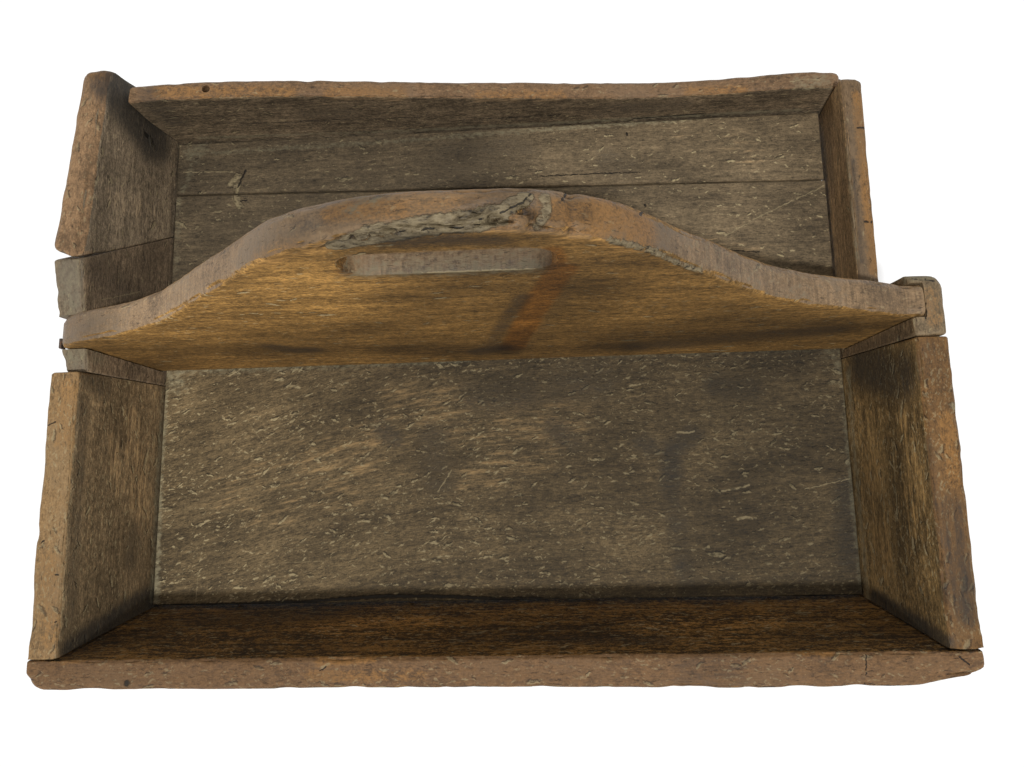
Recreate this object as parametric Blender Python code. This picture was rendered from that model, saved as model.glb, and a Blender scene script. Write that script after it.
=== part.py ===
"""An old wooden tool tote: two open compartments with leaning walls, and a tall handle board between them.

Units are metres, with +Z up, +X to the right and +Y towards the back. The origin is on the floor's underside, in the
middle of the floor. Rim heights are measured up from the floor's top face. A lean or a slant is the run to the side
for each unit of height. The handle board stands at a share of the floor's depth, and the split in the left end starts
at a share of the depth behind the handle board.
"""

import math

import bmesh
import bpy
from mathutils import Matrix, Vector

# Floor
FLOOR_LENGTH = 0.480
FLOOR_DEPTH = 0.345
FLOOR_THICK = 0.015
BACK_STRIP_LEFT = 0.042
BACK_STRIP_RIGHT = 0.053
BACK_STRIP_SHORT = 0.002

# Front wall
RIM_HEIGHT = 0.083
FRONT_THICK = 0.0185
FRONT_LEAN = 0.30

# End boards
END_THICK = 0.0185
LEFT_LEAN = 0.20
RIGHT_LEAN = 0.22
LEFT_CHEEK = 0.010
LEFT_STUB_SHARE = 0.516
LEFT_STUB_RIM_AT_JOINT = 0.075
LEFT_STUB_RIM_AT_SPLIT = 0.088
LEFT_BACK_RIM_AT_SPLIT = 0.089
LEFT_BACK_RIM_AT_REAR = 0.077
LEFT_BACK_CORNER = 0.008
LEFT_BACK_OVERHANG = 0.007
RIGHT_CHEEK = 0.006
RIGHT_BACK_CHEEK = 0.007
BLOCK_CORNER = 0.010
LOW_END_THICK = 0.014
LOW_END_RIM_AT_HANDLE = 0.045
LOW_END_RIM_AT_REAR = 0.049
LOW_END_CORNER = 0.007
JOINT_SLANT = 0.07
SPLIT_SLANT = 0.52

# Back wall
BACK_THICK = 0.014
BACK_RIM_LEFT = 0.063
BACK_RIM_MIDDLE = 0.043
BACK_RIM_RIGHT = 0.031
BACK_HIGH_SHARE = 0.75
BACK_LOW_SHARE = 0.50
BACK_CORNER = 0.008
BACK_INSET = 0.003
OLD_HOLE_WIDTH = 0.0045
OLD_HOLE_DEPTH = 0.012
OLD_HOLE_FROM_LEFT = 0.048

# Handle board
HANDLE_SHARE = 0.484
HANDLE_THICK = 0.021
HANDLE_CREST = 0.257
HANDLE_CREST_SHIFT = 0.008
HANDLE_LEFT_RIM = 0.085
HANDLE_LEFT_INSET = 0.001
HANDLE_RIGHT_RIM = 0.081
HANDLE_CORNER = 0.011
HANDLE_ROUND = 0.0055
HOUSING_DEPTH = 0.008
SLOT_LENGTH = 0.101
SLOT_HEIGHT = 0.030
SLOT_RAIL = 0.028
SLOT_SHIFT = -0.0025

# The ogee on each side of the crest: share of the way out to the end, and share of the rise that is left there
LEFT_OGEE = ((0.27, 0.92), (0.46, 0.63), (0.73, 0.20))
RIGHT_OGEE = ((0.22, 0.91), (0.41, 0.62), (0.63, 0.275))

# Cut nails
NAIL_LENGTH = 0.042
NAIL_HEAD_LENGTH = 0.0066
NAIL_HEAD_WIDTH = 0.0050
NAIL_HEAD_THICK = 0.0020
NAIL_LIP = 0.0014
NAIL_TIP = 0.0011
NAIL_SUNK = 0.0005
PROUD_NAIL = 0.0040
PROUD_NAIL_DROP = 0.013
PROUD_NAIL_SETBACK = 0.0045

# Clearances and rounded edges
GAP = 0.0003
OPEN_JOINT = 0.0010
SPLIT_FLARE_SLANT = 0.045
FLOOR_FRONT_GAP = 0.0018
FLOOR_SIDE_GAP = 0.0009
FLOOR_BACK_GAP = 0.0008
RIM_ROUND = 0.0040
FLOOR_ROUND = 0.0008
CUT_MARGIN = 0.010

# Smoothness of curves, what counts as an edge, and how much of a face's normal points the way that it faces
CURVE_STEPS = 6
ROUND_STEPS = 2
CORNER_STEPS = 4
HOLE_SIDES = 10
WELD = 0.00001
FLAT_ANGLE = math.radians(0.5)
SMOOTH_ANGLE = math.radians(35)
EDGE_ANGLE = math.radians(40)
UP_SHARE = 0.5
BACKWARD_SHARE = 0.7
DOWN_SHARE = 0.9

# Places that follow from the sizes
FRONT_FACE = -FLOOR_DEPTH / 2
BACK_FACE = FLOOR_DEPTH / 2
REAR = BACK_FACE + BACK_THICK
HANDLE_FRONT = FRONT_FACE + FLOOR_DEPTH * HANDLE_SHARE
HANDLE_BACK = HANDLE_FRONT + HANDLE_THICK
HANDLE_MIDDLE = HANDLE_FRONT + HANDLE_THICK / 2
RIM = FLOOR_THICK + RIM_HEIGHT

for old in list(bpy.data.objects):
    bpy.data.objects.remove(old)

boards = bpy.data.collections.new("tool_tote")
cutters = bpy.data.collections.new("tool_tote_cutters")
bpy.context.scene.collection.children.link(boards)
bpy.context.scene.collection.children.link(cutters)
frame = bpy.data.objects.new("tool_tote_frame", None)
boards.objects.link(frame)
nail_holes = {}


# Faces of the leaning boards at a height

def front_inner(z):
    return FRONT_FACE - FRONT_LEAN * (z - FLOOR_THICK)


def front_outer(z):
    return front_inner(z) - FRONT_THICK


def left_inner(z):
    return -FLOOR_LENGTH / 2 - LEFT_LEAN * (z - FLOOR_THICK)


def left_outer(z):
    return left_inner(z) - END_THICK


def right_inner(z):
    return FLOOR_LENGTH / 2 + RIGHT_LEAN * (z - FLOOR_THICK)


def right_outer(z):
    return right_inner(z) + END_THICK


def low_end_inner(z):
    return FLOOR_LENGTH / 2


def low_end_outer(z):
    return low_end_inner(z) + LOW_END_THICK


def left_joint(z):
    return HANDLE_FRONT - LEFT_CHEEK - JOINT_SLANT * (z - FLOOR_THICK)


def right_joint(z):
    return HANDLE_FRONT - RIGHT_CHEEK - JOINT_SLANT * (z - FLOOR_THICK)


def left_split(z):
    foot = HANDLE_BACK + (BACK_FACE - HANDLE_BACK) * LEFT_STUB_SHARE
    return foot - SPLIT_SLANT * (z - FLOOR_THICK)


def handle_left(z):
    return left_outer(z) + HANDLE_LEFT_INSET


def handle_right(z):
    return housing_end(z) - GAP


def housing_end(z):
    return right_inner(z) + HOUSING_DEPTH


def block_back(z):
    return HANDLE_BACK + RIGHT_BACK_CHEEK


def floor_seam(x):
    share = 0.5 + x / FLOOR_LENGTH
    return BACK_FACE - BACK_STRIP_LEFT - (BACK_STRIP_RIGHT - BACK_STRIP_LEFT) * share


# Making objects

def material(name, colour, roughness, metallic=0.0):
    made = bpy.data.materials.new(name)
    made.use_nodes = True
    shader = made.node_tree.nodes["Principled BSDF"]
    shader.inputs["Base Color"].default_value = (*colour, 1.0)
    shader.inputs["Roughness"].default_value = roughness
    shader.inputs["Metallic"].default_value = metallic
    return made


def add_object(name, bm, made_of, group):
    """Turn a finished bmesh into an object whose origin is at the middle of its foot."""
    bmesh.ops.recalc_face_normals(bm, faces=bm.faces)
    low = [min(vert.co[axis] for vert in bm.verts) for axis in range(3)]
    high = [max(vert.co[axis] for vert in bm.verts) for axis in range(3)]
    foot = Vector(((low[0] + high[0]) / 2, (low[1] + high[1]) / 2, low[2]))
    bmesh.ops.translate(bm, verts=bm.verts, vec=-foot)
    mesh = bpy.data.meshes.new(name)
    bm.to_mesh(mesh)
    bm.free()
    mesh.shade_smooth()
    mesh.set_sharp_from_angle(angle=SMOOTH_ANGLE)
    made = bpy.data.objects.new(name, mesh)
    made.location = foot
    group.objects.link(made)
    if made_of is None:
        made.hide_render = True
        made.display_type = "WIRE"
    else:
        mesh.materials.append(made_of)
        made.parent = frame
    return made


def cut(piece, cutter):
    """Take a cutter out of a piece."""
    boolean = piece.modifiers.new(cutter.name, "BOOLEAN")
    boolean.operation = "DIFFERENCE"
    boolean.solver = "EXACT"
    boolean.object = cutter


def slab(left, right, front, back, bottom, top_front, top_back):
    """A six-sided board. Its ends and faces lie where the given functions put them at each corner's height."""
    bm = bmesh.new()
    bmesh.ops.create_cube(bm, size=2.0)
    for vert in bm.verts:
        side, depth, level = vert.co
        z = bottom
        if level > 0:
            z = top_front if depth < 0 else top_back
        x = left(z) if side < 0 else right(z)
        y = front(x, z) if depth < 0 else back(x, z)
        vert.co = (x, y, z)
    bmesh.ops.recalc_face_normals(bm, faces=bm.faces)
    return bm


def round_edges(bm, chosen, radius, steps):
    bmesh.ops.bevel(bm, geom=chosen, offset=radius, segments=steps, profile=0.5, affect="EDGES")
    bm.normal_update()


def round_rear_corner(bm, radius):
    """Round the rear top corner of an end board, as seen from its side."""
    rear = [edge for edge in bm.edges if is_rear_top(edge)]
    round_edges(bm, rear, radius, CORNER_STEPS)


def is_rear_top(edge):
    normals = [face.normal for face in edge.link_faces]
    faces_up = max(normal.z for normal in normals) > UP_SHARE
    return faces_up and max(normal.y for normal in normals) > BACKWARD_SHARE


def round_rim(bm, radius):
    """Round the worn edges all round a board's top."""
    rim = []
    for edge in bm.edges:
        highest = max(face.normal.z for face in edge.link_faces)
        if highest > UP_SHARE and edge.calc_face_angle() > EDGE_ANGLE:
            rim.append(edge)
    round_edges(bm, rim, radius, ROUND_STEPS)


def end_board(name, made_of, inner, outer, front, back, top_front, top_back, corner=0.0):
    """One piece of an end wall, between two faces that run up the end and two that cross it."""
    if inner(0) < 0:
        bm = slab(outer, inner, front, back, 0.0, top_front, top_back)
    else:
        bm = slab(inner, outer, front, back, 0.0, top_front, top_back)
    if corner:
        round_rear_corner(bm, corner)
    round_rim(bm, RIM_ROUND)
    return add_object(name, bm, made_of, boards)


def outline_board(name, points, thick):
    """An upright board from its outline in X and Z, with its front face at Y = 0. A corner point is sharp."""
    curve = bpy.data.curves.new(name + "_outline", "CURVE")
    curve.dimensions = "2D"
    curve.fill_mode = "BOTH"
    curve.extrude = thick / 2
    curve.resolution_u = CURVE_STEPS
    spline = curve.splines.new("BEZIER")
    spline.bezier_points.add(len(points) - 1)
    spline.use_cyclic_u = True
    for bezier, (x, z, is_corner) in zip(spline.bezier_points, points):
        kind = "VECTOR" if is_corner else "AUTO"
        bezier.co = (x, z, 0.0)
        bezier.handle_left_type = kind
        bezier.handle_right_type = kind
    drawn = bpy.data.objects.new(name + "_outline", curve)
    boards.objects.link(drawn)
    bpy.context.view_layer.update()
    evaluated = drawn.evaluated_get(bpy.context.evaluated_depsgraph_get())
    flat = bpy.data.meshes.new_from_object(evaluated)
    bm = bmesh.new()
    bm.from_mesh(flat)
    bpy.data.objects.remove(drawn)
    bpy.data.meshes.remove(flat)
    bmesh.ops.remove_doubles(bm, verts=bm.verts, dist=WELD)
    bmesh.ops.dissolve_limit(bm, angle_limit=FLAT_ANGLE, verts=bm.verts, edges=bm.edges)
    bmesh.ops.rotate(bm, verts=bm.verts, matrix=Matrix.Rotation(math.pi / 2, 3, "X"))
    bmesh.ops.translate(bm, verts=bm.verts, vec=(0.0, thick / 2, 0.0))
    bmesh.ops.recalc_face_normals(bm, faces=bm.faces)
    return bm


# Materials

OAK_GREY = material("floor_wood", (0.105, 0.072, 0.047), 0.72)
OAK_DARK = material("wall_wood", (0.130, 0.078, 0.043), 0.66)
OAK_WORN = material("end_wood", (0.165, 0.096, 0.050), 0.64)
OAK_GOLD = material("handle_wood", (0.210, 0.128, 0.062), 0.58)
IRON = material("nail_iron", (0.050, 0.040, 0.034), 0.70, 0.85)


# Walls and ends

def make_front_wall():
    bm = slab(
        left_outer, right_outer,
        lambda x, z: front_outer(z), lambda x, z: front_inner(z),
        0.0, RIM, RIM,
    )
    round_rim(bm, RIM_ROUND)
    add_object("front_wall", bm, OAK_DARK, boards)


def make_left_end():
    end_board(
        "left_end_front", OAK_WORN, left_inner, left_outer,
        lambda x, z: front_inner(z) + GAP, lambda x, z: left_joint(z) - OPEN_JOINT,
        RIM, RIM,
    )
    middle = end_board(
        "left_end_middle", OAK_WORN, left_inner, left_outer,
        lambda x, z: left_joint(z), lambda x, z: left_split(z),
        FLOOR_THICK + LEFT_STUB_RIM_AT_JOINT, FLOOR_THICK + LEFT_STUB_RIM_AT_SPLIT,
    )
    end_board(
        "left_end_back", OAK_WORN, left_inner, left_outer,
        lambda x, z: left_split(z) + GAP + SPLIT_FLARE_SLANT * z, lambda x, z: REAR + LEFT_BACK_OVERHANG,
        FLOOR_THICK + LEFT_BACK_RIM_AT_SPLIT, FLOOR_THICK + LEFT_BACK_RIM_AT_REAR, LEFT_BACK_CORNER,
    )
    cut(middle, handle_notch("left_notch", lambda z: left_outer(z) - CUT_MARGIN, lambda z: left_inner(z) + CUT_MARGIN))


def make_right_end():
    end_board(
        "right_end_front", OAK_WORN, right_inner, right_outer,
        lambda x, z: front_inner(z) + GAP, lambda x, z: right_joint(z) - OPEN_JOINT,
        RIM, RIM,
    )
    middle = end_board(
        "right_end_middle", OAK_WORN, right_inner, right_outer,
        lambda x, z: right_joint(z), lambda x, z: block_back(z),
        RIM, RIM, BLOCK_CORNER,
    )
    end_board(
        "right_end_back", OAK_WORN, low_end_inner, low_end_outer,
        lambda x, z: block_back(z) + GAP, lambda x, z: BACK_FACE - GAP,
        FLOOR_THICK + LOW_END_RIM_AT_HANDLE, FLOOR_THICK + LOW_END_RIM_AT_REAR, LOW_END_CORNER,
    )
    cut(middle, handle_notch("right_housing", lambda z: right_inner(z) - CUT_MARGIN, housing_end))


def handle_notch(name, left, right):
    """The slot that the handle board's end drops into, from the rim down to the floor."""
    bm = slab(
        left, right,
        lambda x, z: HANDLE_FRONT - GAP, lambda x, z: HANDLE_BACK + GAP,
        FLOOR_THICK, RIM + CUT_MARGIN, RIM + CUT_MARGIN,
    )
    return add_object(name, bm, None, cutters)


def make_back_wall():
    left_top = FLOOR_THICK + BACK_RIM_LEFT
    right_top = FLOOR_THICK + BACK_RIM_RIGHT
    right_x = low_end_outer(0.0) - BACK_INSET
    half = FLOOR_LENGTH / 2
    points = (
        (left_inner(0.0) + GAP, 0.0, True),
        (right_x, 0.0, True),
        (right_x, right_top - BACK_CORNER, True),
        (right_x - BACK_CORNER, right_top, False),
        (half * BACK_LOW_SHARE, right_top, False),
        (0.0, FLOOR_THICK + BACK_RIM_MIDDLE, False),
        (-half * BACK_HIGH_SHARE, left_top, False),
        (left_inner(left_top) + GAP, left_top, True),
    )
    bm = outline_board("back_wall", points, BACK_THICK)
    round_rim(bm, RIM_ROUND)
    bmesh.ops.translate(bm, verts=bm.verts, vec=(0.0, BACK_FACE, 0.0))
    wall = add_object("back_wall", bm, OAK_DARK, boards)
    bore = bmesh.new()
    bmesh.ops.create_cone(
        bore, cap_ends=True, segments=HOLE_SIDES,
        radius1=OLD_HOLE_WIDTH / 2, radius2=OLD_HOLE_WIDTH / 2, depth=OLD_HOLE_DEPTH + CUT_MARGIN,
    )
    hole_x = -half + OLD_HOLE_FROM_LEFT
    hole_z = left_top - OLD_HOLE_DEPTH + (OLD_HOLE_DEPTH + CUT_MARGIN) / 2
    bmesh.ops.translate(bore, verts=bore.verts, vec=(hole_x, BACK_FACE + BACK_THICK / 2, hole_z))
    cut(wall, add_object("old_nail_hole", bore, None, cutters))


# Handle board

def handle_points():
    """Outline of the handle board, from the foot's left end round to the rim above it."""
    foot = FLOOR_THICK + GAP
    left_rim = FLOOR_THICK + HANDLE_LEFT_RIM
    right_rim = FLOOR_THICK + HANDLE_RIGHT_RIM
    crest = FLOOR_THICK + HANDLE_CREST
    left_end = handle_left(left_rim)
    right_end = handle_right(right_rim)
    points = [
        (handle_left(foot), foot, True),
        (handle_right(foot), foot, True),
        (handle_right(right_rim - HANDLE_CORNER), right_rim - HANDLE_CORNER, True),
        (right_end - HANDLE_CORNER, right_rim, False),
    ]
    for out, left_over in reversed(RIGHT_OGEE):
        x = HANDLE_CREST_SHIFT + out * (right_end - HANDLE_CREST_SHIFT)
        points.append((x, right_rim + left_over * (crest - right_rim), False))
    points.append((HANDLE_CREST_SHIFT, crest, False))
    for out, left_over in LEFT_OGEE:
        x = HANDLE_CREST_SHIFT + out * (left_end - HANDLE_CREST_SHIFT)
        points.append((x, left_rim + left_over * (crest - left_rim), False))
    points.append((left_end + HANDLE_CORNER, left_rim, False))
    points.append((handle_left(left_rim - HANDLE_CORNER), left_rim - HANDLE_CORNER, True))
    return points


def make_handle_board():
    bm = outline_board("handle_board", handle_points(), HANDLE_THICK)
    bmesh.ops.translate(bm, verts=bm.verts, vec=(0.0, HANDLE_FRONT, 0.0))
    round_rim(bm, HANDLE_ROUND)
    board = add_object("handle_board", bm, OAK_GOLD, boards)
    cut(board, hand_slot())


def hand_slot():
    """A slot with round ends, right through the handle board under its crest."""
    radius = SLOT_HEIGHT / 2
    centre = (SLOT_SHIFT, HANDLE_MIDDLE, FLOOR_THICK + HANDLE_CREST - SLOT_RAIL - radius)
    half_straight = SLOT_LENGTH / 2 - radius
    bm = bmesh.new()
    bmesh.ops.create_cone(
        bm, cap_ends=True, segments=4 * CURVE_STEPS,
        radius1=radius, radius2=radius, depth=HANDLE_THICK + 2 * CUT_MARGIN,
    )
    bmesh.ops.rotate(bm, verts=bm.verts, matrix=Matrix.Rotation(math.pi / 2, 3, "X"))
    for vert in bm.verts:
        vert.co.x += math.copysign(half_straight, vert.co.x)
    bmesh.ops.translate(bm, verts=bm.verts, vec=centre)
    return add_object("hand_slot", bm, None, cutters)


# Floor

def make_floor():
    def left(z):
        return left_inner(z) + FLOOR_SIDE_GAP

    def right_full(z):
        return right_inner(z) - FLOOR_SIDE_GAP

    def right_short(z):
        return right_full(z) - BACK_STRIP_SHORT

    runs = {
        "floor_front": (
            right_full,
            lambda x, z: front_inner(z) + FLOOR_FRONT_GAP,
            lambda x, z: HANDLE_MIDDLE - GAP,
        ),
        "floor_middle": (
            right_full,
            lambda x, z: HANDLE_MIDDLE,
            lambda x, z: floor_seam(x) - OPEN_JOINT,
        ),
        "floor_back": (
            right_short,
            lambda x, z: floor_seam(x),
            lambda x, z: BACK_FACE - FLOOR_BACK_GAP,
        ),
    }
    for name, (right, front, back) in runs.items():
        bm = slab(left, right, front, back, 0.0, FLOOR_THICK, FLOOR_THICK)
        round_rim(bm, FLOOR_ROUND)
        add_object(name, bm, OAK_GREY, boards)


# Cut nails

def nail_shape(grow, reach):
    """A cut nail that points down from its head, with the head's top at the origin.

    Grow widens it all round for its hole, and reach carries the head's part of the hole out past the board's face.
    """
    length = NAIL_HEAD_LENGTH + 2 * grow
    width = NAIL_HEAD_WIDTH + 2 * grow
    thick = NAIL_HEAD_THICK + grow
    bm = bmesh.new()
    bmesh.ops.create_cube(bm, size=1.0)
    bmesh.ops.scale(bm, verts=bm.verts, vec=(length, width, thick + reach))
    bmesh.ops.translate(bm, verts=bm.verts, vec=(0.0, 0.0, (reach - thick) / 2))
    bm.normal_update()
    under = [face for face in bm.faces if -face.normal.z > DOWN_SHARE]
    bmesh.ops.inset_region(bm, faces=under, thickness=NAIL_LIP, use_even_offset=True)
    shank = bmesh.ops.extrude_discrete_faces(bm, faces=under)["faces"][0]
    tip = NAIL_TIP + 2 * grow
    for vert in shank.verts:
        vert.co.x = math.copysign(tip / 2, vert.co.x)
        vert.co.y = math.copysign(tip / 2, vert.co.y)
        vert.co.z = -NAIL_LENGTH - grow
    return bm


def drive_nail(name, head, direction, pieces, reach=CUT_MARGIN):
    """Put a nail at a point, driven along a direction, and keep its hole for each piece that it goes into."""
    turn = Vector(direction).to_track_quat("-Z", "Y")
    made = bpy.data.objects.new(name, nail_mesh)
    made.location = head
    made.rotation_mode = "QUATERNION"
    made.rotation_quaternion = turn
    made.parent = frame
    boards.objects.link(made)
    place = Matrix.LocRotScale(Vector(head), turn, None)
    for piece in pieces:
        nail_holes.setdefault(piece, []).append((place, reach))


def spread(low, high, count):
    """Even places for nails along a run, with half a step at each end."""
    step = (high - low) / count
    return [low + step * (index + 0.5) for index in range(count)]


def drive_all_nails():
    floor_level = FLOOR_THICK / 2
    wall_levels = spread(FLOOR_THICK, RIM, 2)

    for index, z in enumerate(wall_levels, 1):
        y = front_outer(z)
        left_x = left_inner(z) - END_THICK / 2
        right_x = right_inner(z) + END_THICK / 2
        drive_nail(f"front_left_nail_{index}", (left_x, y, z), (0, 1, 0), ("front_wall", "left_end_front"))
        drive_nail(f"front_right_nail_{index}", (right_x, y, z), (0, 1, 0), ("front_wall", "right_end_front"))

    half = FLOOR_LENGTH / 2
    for index, x in enumerate(spread(-half, half, 4), 1):
        y = front_outer(floor_level)
        drive_nail(f"front_floor_nail_{index}", (x, y, floor_level), (0, 1, 0), ("front_wall", "floor_front"))
        drive_nail(f"back_floor_nail_{index}", (x, REAR, floor_level), (0, -1, 0), ("back_wall", "floor_back"))

    left_runs = {
        "left_end_front": ("floor_front", FRONT_FACE, left_joint(FLOOR_THICK), 2),
        "left_end_middle": ("floor_middle", HANDLE_BACK, left_split(FLOOR_THICK), 2),
        "left_end_back": ("floor_middle", left_split(0.0), floor_seam(-half), 1),
    }
    right_runs = {
        "right_end_front": ("floor_front", FRONT_FACE, right_joint(FLOOR_THICK), 2),
        "right_end_middle": ("floor_middle", HANDLE_MIDDLE, block_back(0.0), 1),
        "right_end_back": ("floor_middle", block_back(0.0), floor_seam(half), 2),
    }
    for board, (floor, start, stop, count) in left_runs.items():
        for index, y in enumerate(spread(start, stop, count), 1):
            head = (left_outer(floor_level), y, floor_level)
            drive_nail(f"{board}_floor_nail_{index}", head, (1, 0, 0), (board, floor))
    for board, (floor, start, stop, count) in right_runs.items():
        outer = low_end_outer if board == "right_end_back" else right_outer
        for index, y in enumerate(spread(start, stop, count), 1):
            head = (outer(floor_level), y, floor_level)
            drive_nail(f"{board}_floor_nail_{index}", head, (-1, 0, 0), (board, floor))

    back_y = BACK_FACE + BACK_THICK / 2
    for index, z in enumerate(spread(FLOOR_THICK, FLOOR_THICK + BACK_RIM_LEFT, 2), 1):
        drive_nail(f"back_left_nail_{index}", (left_outer(z), back_y, z), (1, 0, 0), ("left_end_back", "back_wall"))
    right_z = FLOOR_THICK + BACK_RIM_RIGHT / 2
    right_x = low_end_inner(right_z) + LOW_END_THICK / 2
    drive_nail("back_right_nail", (right_x, REAR, right_z), (0, -1, 0), ("back_wall", "right_end_back"))

    for index, z in enumerate(wall_levels, 1):
        head = (right_outer(z), HANDLE_MIDDLE, z)
        drive_nail(f"handle_right_nail_{index}", head, (-1, 0, 0), ("right_end_middle", "handle_board"))
    proud_z = FLOOR_THICK + HANDLE_LEFT_RIM - PROUD_NAIL_DROP
    head = (handle_left(proud_z) - PROUD_NAIL, HANDLE_FRONT + PROUD_NAIL_SETBACK, proud_z)
    drive_nail("handle_left_nail", head, (1, 0, 0), ("handle_board",), reach=0.0)

    for index, x in enumerate(spread(-half, half, 4), 1):
        for floor, y in (("floor_front", HANDLE_FRONT), ("floor_middle", HANDLE_BACK)):
            head = (x, (y + HANDLE_MIDDLE) / 2, NAIL_SUNK)
            drive_nail(f"{floor}_handle_nail_{index}", head, (0, 0, 1), (floor, "handle_board"))


def cut_nail_holes():
    for board, holes in nail_holes.items():
        joined = bmesh.new()
        for place, reach in holes:
            one = nail_shape(GAP, reach)
            bmesh.ops.transform(one, verts=one.verts, matrix=place)
            scratch = bpy.data.meshes.new("one_hole")
            one.to_mesh(scratch)
            one.free()
            joined.from_mesh(scratch)
            bpy.data.meshes.remove(scratch)
        cut(bpy.data.objects[board], add_object(board + "_nail_holes", joined, None, cutters))


def make_nail_mesh():
    bm = nail_shape(0.0, 0.0)
    bmesh.ops.recalc_face_normals(bm, faces=bm.faces)
    mesh = bpy.data.meshes.new("cut_nail")
    bm.to_mesh(mesh)
    bm.free()
    mesh.materials.append(IRON)
    return mesh


nail_mesh = make_nail_mesh()
make_front_wall()
make_left_end()
make_right_end()
make_back_wall()
make_handle_board()
make_floor()
drive_all_nails()
cut_nail_holes()
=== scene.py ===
"""The looks of an old wooden tool tote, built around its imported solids.

Each board is a dense, worn mesh that follows its CAD node, and each nail is a worn copy of its node.
Units are metres in the CAD's frame: +X to the right, +Y to the back, +Z up. The origin is under the middle of
the floor.
"""

import math

import bmesh
import bpy
import numpy as np
from mathutils import Matrix, Vector
from mathutils.bvhtree import BVHTree


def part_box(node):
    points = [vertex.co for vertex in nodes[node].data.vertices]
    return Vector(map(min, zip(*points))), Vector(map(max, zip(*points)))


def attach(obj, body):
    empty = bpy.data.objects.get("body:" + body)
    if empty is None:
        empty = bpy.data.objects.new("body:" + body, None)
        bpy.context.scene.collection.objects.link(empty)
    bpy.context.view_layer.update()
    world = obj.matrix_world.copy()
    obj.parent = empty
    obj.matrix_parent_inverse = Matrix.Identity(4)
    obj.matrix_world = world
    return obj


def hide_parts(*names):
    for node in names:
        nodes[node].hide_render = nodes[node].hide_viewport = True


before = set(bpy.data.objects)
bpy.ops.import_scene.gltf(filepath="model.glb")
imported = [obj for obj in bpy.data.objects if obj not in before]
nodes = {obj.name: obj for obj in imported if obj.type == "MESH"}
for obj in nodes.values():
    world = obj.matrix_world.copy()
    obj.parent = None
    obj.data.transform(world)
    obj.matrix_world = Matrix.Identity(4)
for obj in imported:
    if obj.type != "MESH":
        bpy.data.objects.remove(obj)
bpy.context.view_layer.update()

# Places and leans of the boards, as in the CAD
FLOOR_TOP = 0.015
HALF_LENGTH = 0.240
FRONT_FACE = -0.1725
BACK_FACE = 0.1725
RIM = 0.098
END_THICK = 0.0185
LOW_END_THICK = 0.014
FRONT_THICK = 0.0185
BACK_THICK = 0.014
BACK_OVERHANG = 0.007
FRONT_LEAN = 0.30
LEFT_LEAN = 0.20
RIGHT_LEAN = 0.22
LEFT_CHEEK = 0.010
RIGHT_CHEEK = 0.006
BLOCK_CHEEK = 0.007
JOINT_SLANT = 0.07
SPLIT_SHARE = 0.516
SPLIT_SLANT = 0.52
SPLIT_FLARE = 0.045
HANDLE_INSET = 0.001
HOUSING_DEPTH = 0.008
SLOT_RADIUS = 0.015
SLOT_STRAIGHT = 0.0355
SLOT_RAIL = 0.028
SLOT_SHIFT = -0.0025
SLOT_WEAR = {"left": 0.0032, "right": 0.0014}
BACK_LEFT_GAP = 0.0045
OLD_HOLE = (-0.192, BACK_FACE + BACK_THICK / 2, 0.078)
OLD_HOLE_RADIUS = 0.0033
OLD_HOLE_DEPTH = 0.012
GAP = 0.0003
FRONT_WALL_INSET = 0.0004
FLOOR_SIDE_GAP = 0.0009
FLOOR_FRONT_GAP = 0.0018
FLOOR_BACK_GAP = 0.0008
SEAM_INSET = 0.042
SEAM_SLANT = 0.011
HANDLE_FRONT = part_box("handle_board")[0].y
HANDLE_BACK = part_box("handle_board")[1].y
HANDLE_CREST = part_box("handle_board")[1].z

# The photograph's frame and camera
IMAGE = (1024, 767)
FOCAL = 899.94
SENSOR = 36.0
CAMERA_PLACE = Vector((0.05437, -0.14398, 0.63236))
CAMERA_TURN = (
    Matrix.Rotation(0.1948, 3, "X") @ Matrix.Rotation(0.0674, 3, "Y") @ Matrix.Rotation(-0.0315, 3, "Z")
)

# Light
AMBIENT = 0.40
KEY = 2.05
KEY_TILT = math.radians(24)
KEY_ANGLE = math.radians(3)

# Heights of the end boards' rims, at the front and at the back
LEFT_MIDDLE_TOPS = (0.090, 0.103)
LEFT_BACK_TOPS = (0.104, 0.092)
LOW_TOPS = (0.060, 0.064)

# How far the faces of a board are out of true
WALL_WARP = 0.0008
HANDLE_WARP = 0.0006
FLOOR_WARP = 0.0007

# Radii along, across and through a wall at the ends of its rim
TIGHT_RADII = (0.0004, 0.0006, 0.0006)
CORNER_RADII = (0.0095, 0.0040, 0.0080)

# How far the walls' rims stand out, and the depth and length of the chip at the front wall's right corner
RIM_SPREAD = 0.0022
FRONT_SWELL = 0.0018
CHIP_DEPTH = 0.0042
CHIP_LENGTH = 0.045

# Depths of the handle's torn strip, of the split and the notch in its crest, and of the ripples on its tail
TEAR_DEPTHS = (0.0006, 0.0048)
CREST_SPLIT_DEPTH = 0.0022
CREST_NOTCH_DEPTH = 0.0016
CREST_CUT_WIDTH = 0.0022
RIPPLE_DEPTH = 0.0012

# Rounding of the floor boards' edges and of the nails, and how near points of a nail are joined
FLOOR_EDGE = 0.0013
NAIL_BEVEL = 0.0004
NAIL_WELD = 0.00005

# The last part of the handle's right tail, which keeps its height to fill the housing
HOUSED_END = 0.0125

# Places on the handle's crest in pixels of the photograph: its torn strip, its split and its notch
TORN_FROM = (320, 238)
TORN_TO = (528, 198)
CREST_SPLIT = (528, 196)
CREST_NOTCH = (566, 198)

# One millimetre, and the pitch of a mesh near its edges
MM = 0.001
FINE = 0.0012

# Grain axes of a board: along, across and through, as numbers of the world's axes
X_WALL = [0, 2, 1]
Y_WALL = [1, 2, 0]
X_FLOOR = [0, 1, 2]

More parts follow.
